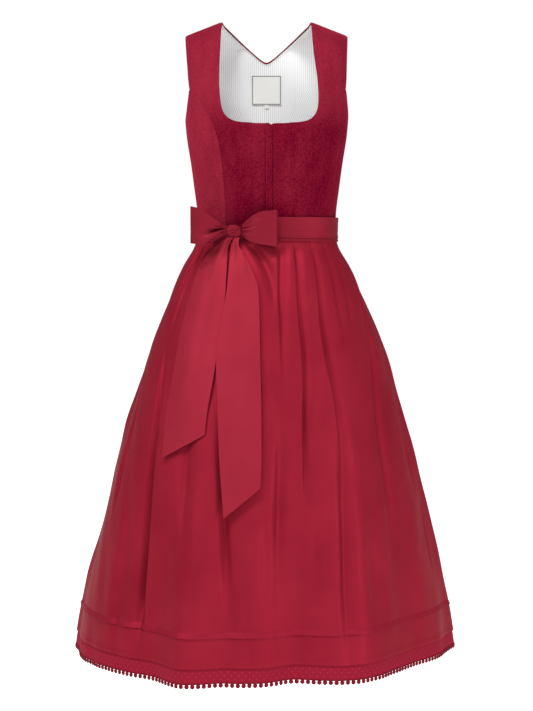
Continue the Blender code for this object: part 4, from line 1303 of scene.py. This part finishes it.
def under_apron(azimuth, z):
    """How much deeper the skirt lies where the apron covers it."""
    outside, inside = COVER_SIDES
    sides = ease(azimuth, APRON_SIDES[0] - outside, APRON_SIDES[0] + inside)
    sides = sides * ease(azimuth, APRON_SIDES[1] + outside, APRON_SIDES[1] - inside)
    hem = ease(z, APRON_HEM_Z - COVER_HEM[0], APRON_HEM_Z + COVER_HEM[1])
    return UNDER_APRON * sides * hem * ease(z, COVER_FROM_Z, COVER_FULL_Z)


skirt_low = np.linspace(HEM_Z, CLOSER_ROWS_Z, LOW_ROWS)
skirt_top = np.linspace(CLOSER_ROWS_Z, WAIST_Z, TOP_ROWS)
for name, sides, columns in SKIRT_PANELS:
    azimuth, z = np.meshgrid(np.linspace(*sides, columns), np.concatenate([skirt_low, skirt_top[1:]]))
    sunk = under_apron(azimuth, z)[..., None] * outward(smooth_skirt, azimuth, z)
    piece = cloth(f"{name}_cotton", drawn_in(skirt_surface(azimuth, z) - sunk, **SEWN), SKIRT_CLOTH)
    sew_in(piece, name, "skirt_cloth", COTTON_FINISH)

# %% [markdown]
# ## The scalloped edging
#
# The hem is finished with a crocheted braid: a thin cord with a row of small rounded loops, 9.6 mm apart.
# One loop is a flattened ball with a slightly thicker rim, and some two hundred copies follow the hem,
# each turned to the cloth where it hangs.

# %% Cord at the hem
CORD_LOW_Z = HEM_Z - 0.0013
CORD_TOP_Z = HEM_Z + 0.0008
CORD_PROUD = 0.0003
CORD_ROUND = 0.0006
CORD_ROWS = 5
JOINED_WITHIN = 0.00002

upwards = np.linspace(CORD_LOW_Z, CORD_TOP_Z, CORD_ROWS)
azimuth, z = np.meshgrid(np.linspace(-180, 180, 361), upwards)
bulge = CORD_PROUD + CORD_ROUND * np.sin(math.pi * (z - CORD_LOW_Z) / (CORD_TOP_Z - CORD_LOW_Z))
points = skirt_surface(azimuth, z) + bulge[..., None] * outward(smooth_skirt, azimuth, z)
cord = cloth("hem_trim_braid", points, SKIRT_CLOTH)
bpy.ops.object.mode_set(mode="EDIT")
bpy.ops.mesh.select_all(action="SELECT")
bpy.ops.mesh.remove_doubles(threshold=JOINED_WITHIN)
bpy.ops.object.mode_set(mode="OBJECT")
sew_in(cord, "hem_trim", "trim", BRAID_FINISH)

# %% Loops under the cord
PICOT_PITCH = 0.0096
PICOT = (0.0078, 0.0026, 0.0080)
PICOT_BELOW = 0.0042
PICOT_BEHIND = 0.0006
PICOT_MIDDLE = 0.62
PICOT_RIM = 0.9
BESIDE = 0.05
HEM_POINTS = 7201

hem_azimuth = np.linspace(-180, 180, HEM_POINTS)
hem_line = skirt_surface(hem_azimuth, np.full(hem_azimuth.shape, HEM_Z))
way = np.concatenate([[0], np.cumsum(np.linalg.norm(np.diff(hem_line, axis=0), axis=-1))])
count = int(round(way[-1] / PICOT_PITCH))
at = np.interp(np.arange(count) * way[-1] / count, way, hem_azimuth)
hem = np.full(at.shape, HEM_Z)
places = skirt_surface(at, hem - PICOT_BELOW) - PICOT_BEHIND * outward(smooth_skirt, at, hem)
ways = skirt_surface(at + BESIDE, hem - PICOT_BELOW) - skirt_surface(at - BESIDE, hem - PICOT_BELOW)
frames = []
for place, across in zip(places, ways):
    across = Vector(across).normalized()
    up = Vector((0, 0, 1))
    out = up.cross(across).normalized()
    frames.append((Vector(place), Matrix((across, out, up)).transposed()))
picot = small_ball(12, 8, PICOT)
for vertex in picot.data.vertices:
    reach = math.hypot(vertex.co.x / PICOT[0] * 2, vertex.co.z / PICOT[2] * 2)
    vertex.co.y *= PICOT_MIDDLE + PICOT_RIM * reach ** 2
picots = place_copies("hem_trim_loops", picot, frames)
sew_in(picots, None, "trim", BRAID_FINISH)
print("hem", round(way[-1], 3), "m round with", count, "loops")

# %% [markdown]
# ## The apron
#
# One width of satin pleated into the waistband. It lies on the skirt, follows its pleats and waves, and
# ends above the skirt's hem. Its side and lower edges are turned, which makes them a little thicker, and
# a tuck runs above the hem: a fold of the cloth that lies flat with its edge down.

# %% Apron panel
APRON_COLUMNS = 490
EDGE_TURN = 0.0006
EDGE_FLAT = 0.0072
EDGE_WIDE = 0.009
CLOSE_ROWS = (
    # from and to, and how many rows
    (APRON_HEM_Z, -1.076, 8),
    (-1.076, CLOSER_ROWS_Z, 72),
    (CLOSER_ROWS_Z, APRON_TOP_Z, TOP_ROWS),
)

heights = np.concatenate([np.linspace(*stretch)[(k > 0):] for k, stretch in enumerate(CLOSE_ROWS)])
azimuth, z = np.meshgrid(np.linspace(*APRON_SIDES, APRON_COLUMNS), heights)
normals = outward(smooth_skirt, azimuth, z)
points = skirt_surface(azimuth, z) + (SEAM + SATIN) * normals
turned = np.minimum(distance_to(points, points[:, 0]), distance_to(points, points[:, -1]))
turned = np.minimum(turned, z - APRON_HEM_Z)
points = points + (EDGE_TURN * (1 - ease(turned, EDGE_FLAT, EDGE_WIDE)))[..., None] * normals
sew_in(cloth("apron_satin", points, SATIN), "apron", "satin", SATIN_FINISH)

# %% Tuck above the hem
TUCK_WALL = 0.0007
TUCK_PROUD = 0.0024
TUCK_SUNK = 0.0004
TUCK_BEND = 0.8
PUCKER = 0.0003
PUCKERS = (410, 93)
TUCK_ROWS = 10

azimuth, z = np.meshgrid(np.linspace(*APRON_SIDES, APRON_COLUMNS), np.linspace(*TUCK_Z, TUCK_ROWS))
share = (z - TUCK_Z[0]) / (TUCK_Z[1] - TUCK_Z[0])
across = on_girth(azimuth, z)
pucker = PUCKER * np.sin(across * PUCKERS[0]) * np.sin(across * PUCKERS[1]) * (1 - share)
lift = SEAM + SATIN - TUCK_SUNK + (TUCK_PROUD + TUCK_SUNK) * (1 - share) ** TUCK_BEND + pucker
points = skirt_surface(azimuth, z) + lift[..., None] * outward(smooth_skirt, azimuth, z)
# The tuck's satin is painted lighter: painted light
sew_in(cloth("apron_tuck_satin", points, TUCK_WALL), "apron_tuck", "satin", PAINTED_LIGHT_TUCK_FINISH)

# %% [markdown]
# ## Waistband and ties
#
# The waistband's lower edge shows under the ties, which lie round it like a belt: the right tie ends
# inside, the left one lies over it behind. Cloth under pull makes fine folds along its length, strongest
# beside the bow.

# %% Fine folds of waistband and ties
BELT_FOLDS = table("from_at from_z to_at to_z deep wide", [
    (2.0, -0.3800, 30.0, -0.3760, 0.0006, 0.0020),
    (4.0, -0.3610, 22.0, -0.3640, 0.0005, 0.0020),
    (9.0, -0.3680, 45.0, -0.3700, 0.0004, 0.0018),
    (60.0, -0.3560, 96.0, -0.3590, 0.0006, 0.0022),
    (70.0, -0.3760, 110.0, -0.3740, 0.0006, 0.0022),
    (120.0, -0.3620, 165.0, -0.3660, 0.0006, 0.0022),
    (150.0, -0.3780, 185.0, -0.3740, 0.0006, 0.0022),
    (-60.0, -0.3620, -85.0, -0.3600, 0.0005, 0.0020),
    (-80.0, -0.3750, -125.0, -0.3720, 0.0006, 0.0022),
    (-130.0, -0.3600, -170.0, -0.3640, 0.0006, 0.0022),
    (-36.0, -0.3700, -55.0, -0.3720, 0.0007, 0.0022),
    (13.0, -0.3620, 34.0, -0.3560, 0.0009, 0.0022),
    (14.0, -0.3700, 40.0, -0.3660, 0.0009, 0.0024),
    (15.0, -0.3770, 52.0, -0.3790, 0.0008, 0.0022),
    (38.0, -0.3810, 70.0, -0.3800, 0.0007, 0.0020),
])


# %% How far the bands stand off, and how their ends are cut
# Where the bands dip under the knot, and how far
DIP_SIDES = (-54.0, -38.0, -12.0, 2.0)
DIP = 0.0150

# The share of the table's depths that is used, and how deep and how wide the edges roll
FOLDS_SHARE = 0.8
ROLLED = 0.0003
ROLLED_WIDE = 0.002
LAYER = SATIN + SEAM
FLARE_FROM_Z = -0.380
BAND_ROWS = 16

# Degrees before the left tie's end over which it lifts and over which its slant grows
TIE_LIFTS = (30, 14)
TIE_SLANTS = 20

band_heights = np.linspace(BAND_LOW_Z, BAND_TOP_Z, BAND_ROWS)
tie_heights = np.linspace(TIE_LOW_Z, TIE_TOP_Z, BAND_ROWS)
tie_middle = (TIE_LOW_Z + TIE_TOP_Z) / 2


def band_distance(azimuth, z):
    """Where the waistband's outer face lies all round: its lower edge stands off over the pleats."""
    return BAND_CLEAR + SATIN + BAND_FLARE * ease(z, FLARE_FROM_Z, BAND_LOW_Z)


def left_distance(azimuth, z):
    """The left tie lies on the waistband, and its end lifts a little."""
    lifted = TIE_END_LIFT * ease(azimuth, TIE_LEFT_END - TIE_LIFTS[0], TIE_LEFT_END - TIE_LIFTS[1])
    return band_distance(azimuth, z) + LAYER + lifted


def right_distance(azimuth, z):
    """The right tie lies on the waistband and ends inside the left tie."""
    return band_distance(azimuth, z) + LAYER * ease(azimuth, TIE_INSIDE_FROM, TIE_OUTSIDE_FROM)


def straight(azimuth, z):
    """A band with upright ends."""
    return azimuth


def left_slant(azimuth, z):
    """The left tie's end is cut at a slant."""
    near_end = ease(azimuth, TIE_LEFT_END - TIE_SLANTS, TIE_LEFT_END)
    return azimuth + TIE_SLANT * (z - tie_middle) * near_end


# %% Bands round the waist
def belt(node, begin, end, heights, distance, slant=straight):
    """A band round the waist with its folds."""
    azimuth, z = np.meshgrid(np.linspace(begin, end, int(abs(end - begin)) + 2), heights)
    beside_knot = ease(azimuth, DIP_SIDES[0], DIP_SIDES[1]) * ease(azimuth, DIP_SIDES[3], DIP_SIDES[2])
    z = z - DIP * beside_knot * (z - heights[0]) / (heights[-1] - heights[0])
    azimuth = slant(azimuth, z)
    folds = FOLDS_SHARE * troughs(BELT_FOLDS, on_girth(azimuth, z), z, on_girth)
    rolled = ROLLED * (1 - ease(np.minimum(z - z[0], z[-1] - z), 0, ROLLED_WIDE))
    points = offset(waist_surface, azimuth, z, distance(azimuth, z) - folds - rolled)
    # Band and ties take the satin painted a shade deeper: painted shade
    sew_in(cloth(f"{node}_satin", points, SATIN), node, "satin", PAINTED_SHADE_SATIN_FINISH)


belt("apron_waistband", *BAND_SIDES, band_heights, band_distance)
belt("tie_left", TIE_KNOT_SIDES[1], TIE_LEFT_END, tie_heights, left_distance, left_slant)
belt("tie_right", TIE_RIGHT_END, TIE_KNOT_SIDES[0], tie_heights, right_distance)

# %% [markdown]
# ## The bow
#
# Two loops, two tails and the knot that holds them. A ribbon that is pulled into a knot gathers, so each
# loop has folds that start at the knot, spread like a fan and die away after a few centimetres. The path
# of a loop is given seen from above, with its middle height and half the ribbon's width at each place.

# %% Tables of the bow
RIGHT_LOOP = table("x y z half", [
    (-0.0697, -0.1042, -0.3660, 0.0030),
    (-0.0770, -0.1095, -0.3662, 0.0062),
    (-0.0850, -0.1140, -0.3658, 0.0115),
    (-0.0930, -0.1175, -0.3658, 0.0170),
    (-0.1000, -0.1195, -0.3658, 0.0228),
    (-0.1080, -0.1200, -0.3655, 0.0285),
    (-0.1180, -0.1172, -0.3636, 0.0314),
    (-0.1290, -0.1095, -0.3615, 0.0318),
    (-0.1310, -0.1010, -0.3612, 0.0320),
    (-0.1260, -0.0935, -0.3612, 0.0312),
    (-0.1130, -0.0905, -0.3635, 0.0285),
    (-0.0980, -0.0915, -0.3680, 0.0235),
    (-0.0820, -0.0940, -0.3705, 0.0140),
    (-0.0700, -0.0955, -0.3695, 0.0058),
])
LEFT_LOOP = table("x y z half", [
    (-0.0425, -0.1040, -0.3690, 0.0080),
    (-0.0339, -0.1100, -0.3700, 0.0165),
    (-0.0217, -0.1165, -0.3680, 0.0240),
    (-0.0080, -0.1200, -0.3667, 0.0285),
    (0.0070, -0.1200, -0.3670, 0.0302),
    (0.0165, -0.1165, -0.3675, 0.0318),
    (0.0190, -0.1105, -0.3675, 0.0320),
    (0.0150, -0.1050, -0.3675, 0.0312),
    (0.0030, -0.1025, -0.3670, 0.0290),
    (-0.0130, -0.1015, -0.3680, 0.0230),
    (-0.0300, -0.1010, -0.3695, 0.0150),
    (-0.0425, -0.1005, -0.3700, 0.0075),
])
SHORT_TAIL = table("left_x left_z right_x right_z", [
    (-0.0680, -0.3828, -0.0575, -0.3830),
    (-0.0850, -0.3960, -0.0665, -0.3990),
    (-0.1113, -0.4234, -0.0676, -0.4228),
    (-0.1251, -0.4547, -0.0694, -0.4537),
    (-0.1350, -0.4927, -0.0714, -0.4911),
    (-0.1483, -0.5442, -0.0779, -0.5418),
    (-0.1619, -0.6256, -0.0902, -0.6222),
    (-0.1716, -0.6813, -0.1000, -0.6773),
    (-0.1783, -0.7586, -0.1040, -0.7162),
])
LONG_TAIL = table("left_x left_z right_x right_z", [
    (-0.0555, -0.3830, -0.0470, -0.3830),
    (-0.0612, -0.3969, -0.0479, -0.3968),
    (-0.0628, -0.4159, -0.0373, -0.4158),
    (-0.0657, -0.4485, -0.0216, -0.4482),
    (-0.0688, -0.4775, -0.0136, -0.4771),
    (-0.0799, -0.5469, -0.0114, -0.5461),
    (-0.0854, -0.5972, -0.0104, -0.5962),
    (-0.0826, -0.6684, -0.0088, -0.6674),
    (-0.0791, -0.7523, -0.0084, -0.7512),
    (-0.0715, -0.8509, -0.0100, -0.8011),
])
TAIL_CLEAR = table("height clear", [
    (-0.850, 0.0150), (-0.800, 0.0115), (-0.750, 0.0092), (-0.700, 0.0078),
    (-0.600, 0.0068), (-0.450, 0.0068), (-0.410, 0.0105), (-0.382, 0.0155),
])
LONG_TAIL_LIFT = 0.0028
LIFT_FROM_Z = -0.3825
LIFT_FULL_Z = -0.3900
LOOP_WALL = 0.0012


def resampled(tab, names, count):
    """Smooth curves through a table's columns, at evenly spaced shares of the way through its rows."""
    rows = np.arange(len(tab[names[0]]))
    where = np.linspace(0, rows[-1], count)
    return [smooth_at(rows, tab[name], where) for name in names]

# %% Loops with their gathers
# Folds of a loop: its end (0 in front, 1 behind), the place across, the half width, the depth and the reach
RIGHT_GATHERS = table("end across wide deep reach", [
    (0, -0.36, 0.24, 0.0170, 0.036),
    (0, 0.20, 0.14, 0.0034, 0.030),
    (0, 0.66, 0.14, 0.0024, 0.020),
    (1, -0.40, 0.18, 0.0024, 0.028),
    (1, 0.20, 0.16, 0.0026, 0.036),
    (1, 0.65, 0.14, 0.0020, 0.022),
])
LEFT_GATHERS = table("end across wide deep reach", [
    (0, 0.42, 0.16, 0.0056, 0.036),
    (0, 0.02, 0.13, 0.0064, 0.026),
    (0, -0.46, 0.18, 0.0032, 0.022),
    (1, -0.40, 0.18, 0.0024, 0.028),
    (1, 0.20, 0.16, 0.0026, 0.036),
    (1, 0.65, 0.14, 0.0020, 0.022),
])
LOOP_COLUMNS = 90
LOOP_ROWS = 29
SET_IN = 0.006


def loop_points(tab, gathers):
    """Points of a loop along its path, each fold sinking or lifting them sideways."""
    x, y, z, half = resampled(tab, ("x", "y", "z", "half"), LOOP_COLUMNS)
    across = np.linspace(-1, 1, LOOP_ROWS)[:, None]
    path = np.stack([x, y], -1)
    way = np.gradient(path, axis=0)
    way /= np.linalg.norm(way, axis=-1, keepdims=True)
    side = np.stack([way[:, 1], -way[:, 0]], -1)
    run = np.concatenate([[0], np.cumsum(np.linalg.norm(np.diff(path, axis=0), axis=-1))])
    depth = np.zeros((LOOP_ROWS, LOOP_COLUMNS))
    for end, place, wide, deep, reach in zip(*gathers.values()):
        away = run if end == 0 else run[-1] - run
        depth += deep * bell(across - place, wide) * bell(away, reach) * ease(away, 0, SET_IN)
    moved = path[None] + depth[..., None] * side[None]
    return np.stack([moved[..., 0], moved[..., 1], z + half * across], -1)


for hand, tab, gathers in (("right", RIGHT_LOOP, RIGHT_GATHERS), ("left", LEFT_LOOP, LEFT_GATHERS)):
    loop = cloth(f"bow_loop_{hand}_satin", loop_points(tab, gathers), LOOP_WALL, side=0)
    # The loops take the satin painted a shade deeper: painted shade
    sew_in(loop, f"bow_loop_{hand}", "satin", PAINTED_SHADE_SATIN_FINISH)

# %% Tails
def front_of_skirt(x, z, clear):
    """Y of a sheet that hangs in front of the skirt, clear of it all round by this much."""
    square = column(SKIRT, "squareness", z)
    share = np.abs(x) / (column(SKIRT, "half_width", z) + clear)
    return -(column(SKIRT, "front", z) + clear) * (1 - share ** square) ** (1 / square)


# Folds of the tails, in the front view: from x and z to x and z, depth and half width (ridges negative)
TAIL_FOLDS = table("from_x from_z to_x to_z deep wide", [
    (-0.066, -0.384, -0.072, -0.430, 0.0030, 0.0035),
    (-0.074, -0.388, -0.100, -0.470, -0.0020, 0.0060),
    (-0.056, -0.386, -0.058, -0.440, 0.0018, 0.0040),
    (-0.050, -0.388, -0.030, -0.470, -0.0022, 0.0060),
    (-0.090, -0.440, -0.120, -0.600, 0.0016, 0.0120),
    (-0.040, -0.440, -0.045, -0.620, 0.0014, 0.0140),
    (-0.130, -0.560, -0.150, -0.700, -0.0014, 0.0120),
    (-0.030, -0.620, -0.050, -0.800, -0.0014, 0.0140),
])

TAIL_ROWS = 110
TAIL_COLUMNS = 27

for name, tab, lift in (("bow_tail_short", SHORT_TAIL, 0), ("bow_tail_long", LONG_TAIL, LONG_TAIL_LIFT)):
    left_x, left_z, right_x, right_z = resampled(tab, list(tab), TAIL_ROWS)
    share = np.linspace(0, 1, TAIL_COLUMNS)
    x = left_x[:, None] * (1 - share) + right_x[:, None] * share
    z = left_z[:, None] * (1 - share) + right_z[:, None] * share
    clear = column(TAIL_CLEAR, "clear", z) + lift * ease(z, LIFT_FROM_Z, LIFT_FULL_Z)
    y = front_of_skirt(x, z, clear) + troughs(TAIL_FOLDS, x, z, as_it_is)
    points = np.stack([x, y, z], -1)[::-1]
    # The tails take the satin painted a shade lighter: painted light
    sew_in(cloth(f"{name}_satin", points, SATIN, side=0), name, "satin", PAINTED_LIGHT_TAIL_FINISH)

# %% Knot
KNOT_CENTRE = (-0.0562, -0.1030, -0.3712)
KNOT_SIZE = (0.0262, 0.0150, 0.0225)
KNOT_ROUNDING = 0.82
KNOT_LEAN = 0.42
KNOT_WAIST = 0.10
KNOT_WAIST_WIDE = 0.22
KNOT_ENDS = 6

# The knot's folds: height on it, half width and depth, as shares of its size
KNOT_FOLDS = ((0.30, 0.060, 0.26), (0.06, 0.055, 0.34), (-0.17, 0.060, 0.30), (-0.36, 0.050, 0.22))

bpy.ops.object.select_all(action="DESELECT")
bpy.ops.mesh.primitive_uv_sphere_add(segments=64, ring_count=40, radius=0.5, location=(0, 0, 0))
knot = bpy.context.object
knot.name = knot.data.name = "bow_knot_satin"
for vertex in knot.data.vertices:
    x, y, z = [math.copysign(abs(2 * each) ** KNOT_ROUNDING / 2, each) for each in vertex.co]
    sunk = sum(deep * bell(z - KNOT_LEAN * x - at, wide) for at, wide, deep in KNOT_FOLDS)
    narrower = 1 - sunk * (1 - (2 * abs(x)) ** KNOT_ENDS)
    narrower = narrower * (1 - KNOT_WAIST * bell(x, KNOT_WAIST_WIDE))
    shaped = (x, y * narrower, z * narrower)
    vertex.co = [centre + size * each for centre, size, each in zip(KNOT_CENTRE, KNOT_SIZE, shaped)]
bpy.ops.object.shade_smooth_by_angle(angle=SMOOTH_ANGLE)
# The knot takes the satin painted a shade deeper: painted shade
sew_in(knot, "bow_knot", "satin", PAINTED_SHADE_SATIN_FINISH)

# %% [markdown]

# %% [markdown]
# ## Floor, light and camera
#
# The dress is shown in a white studio: a pale matt floor lit evenly, a white surround, a soft light from
# the viewer's upper left, one from above, a weaker one from the right and a faint one in front. The
# camera stands 3.2 m away with a long lens and looks down by about three degrees.

# %% Floor
FLOOR_Z = -1.380
FLOOR_RADIUS = 30

bpy.ops.object.select_all(action="DESELECT")
bpy.ops.mesh.primitive_circle_add(vertices=96, radius=FLOOR_RADIUS, fill_type="NGON", location=(0, 0, 0))
floor = bpy.context.object
floor.name = "floor"
floor.data.transform(Matrix.Translation((0, 0, FLOOR_Z)))
made, tree = new_finish(
    "matt_floor", Roughness=0.95, Specular_IOR_Level=0.1, Emission_Color=(1, 1, 1, 1), Emission_Strength=0.9)
place = add(tree, "ShaderNodeTexCoord").outputs["Object"]
grain = add(tree, "ShaderNodeTexNoise", {"Vector": place, "Scale": 3.0, "Detail": 2.0})
pale = add(tree, "ShaderNodeValToRGB", {"Fac": grain.outputs["Fac"]},
           stops=((0.3, "#F4F4F4"), (0.7, "#F7F7F7")))
wire(tree, Base_Color=pale.outputs["Color"])
floor.data.materials.append(made)

# %% Surround and lights
AMBIENT = 0.26
SEEN_WHITE = 1.0

bpy.context.scene.view_settings.view_transform = "Standard"
world = bpy.data.worlds.new("white_studio")
bpy.context.scene.world = world
world.use_nodes = True
surround = world.node_tree.nodes["Background"]
surround.inputs["Color"].default_value = (1, 1, 1, 1)
seen = add(world.node_tree, "ShaderNodeLightPath").outputs["Is Camera Ray"]
strength = add(world.node_tree, "ShaderNodeMapRange", {
    "Value": seen, "To Min": AMBIENT, "To Max": SEEN_WHITE})
world.node_tree.links.new(strength.outputs["Result"], surround.inputs["Strength"])


def soft_light(name, place, target, size, power):
    """A round soft light that is aimed at a point."""
    bpy.ops.object.light_add(type="AREA", location=place)
    light = bpy.context.object
    light.name = name
    light.data.shape = "DISK"
    light.data.size = size
    light.data.energy = power
    light.rotation_euler = (Vector(target) - Vector(place)).to_track_quat("-Z", "Y").to_euler()
    light.visible_camera = False
    print("light", name, power, "W")


soft_light("key", (-2.6, -2.0, 1.7), (0, 0, -0.60), 1.5, 58)
soft_light("front", (0.4, -3.2, 0.1), (0, 0, -0.50), 1.0, 12)
soft_light("top", (-0.6, -1.6, 2.7), (0, -0.1, -0.80), 1.2, 92)
soft_light("fill", (2.8, -2.0, -0.3), (0, 0, -0.85), 1.8, 44)

# %% Camera
CAMERA_PLACE = (0.0, -3.2, -0.4112)
CAMERA_TILT = 3.26
LENS = 90.4
SENSOR = 36

bpy.ops.object.camera_add(location=CAMERA_PLACE, rotation=(math.radians(90 - CAMERA_TILT), 0, 0))
camera = bpy.context.object
camera.data.lens = LENS
camera.data.sensor_width = SENSOR
bpy.context.scene.camera = camera
print("camera", LENS, "mm at", CAMERA_PLACE)
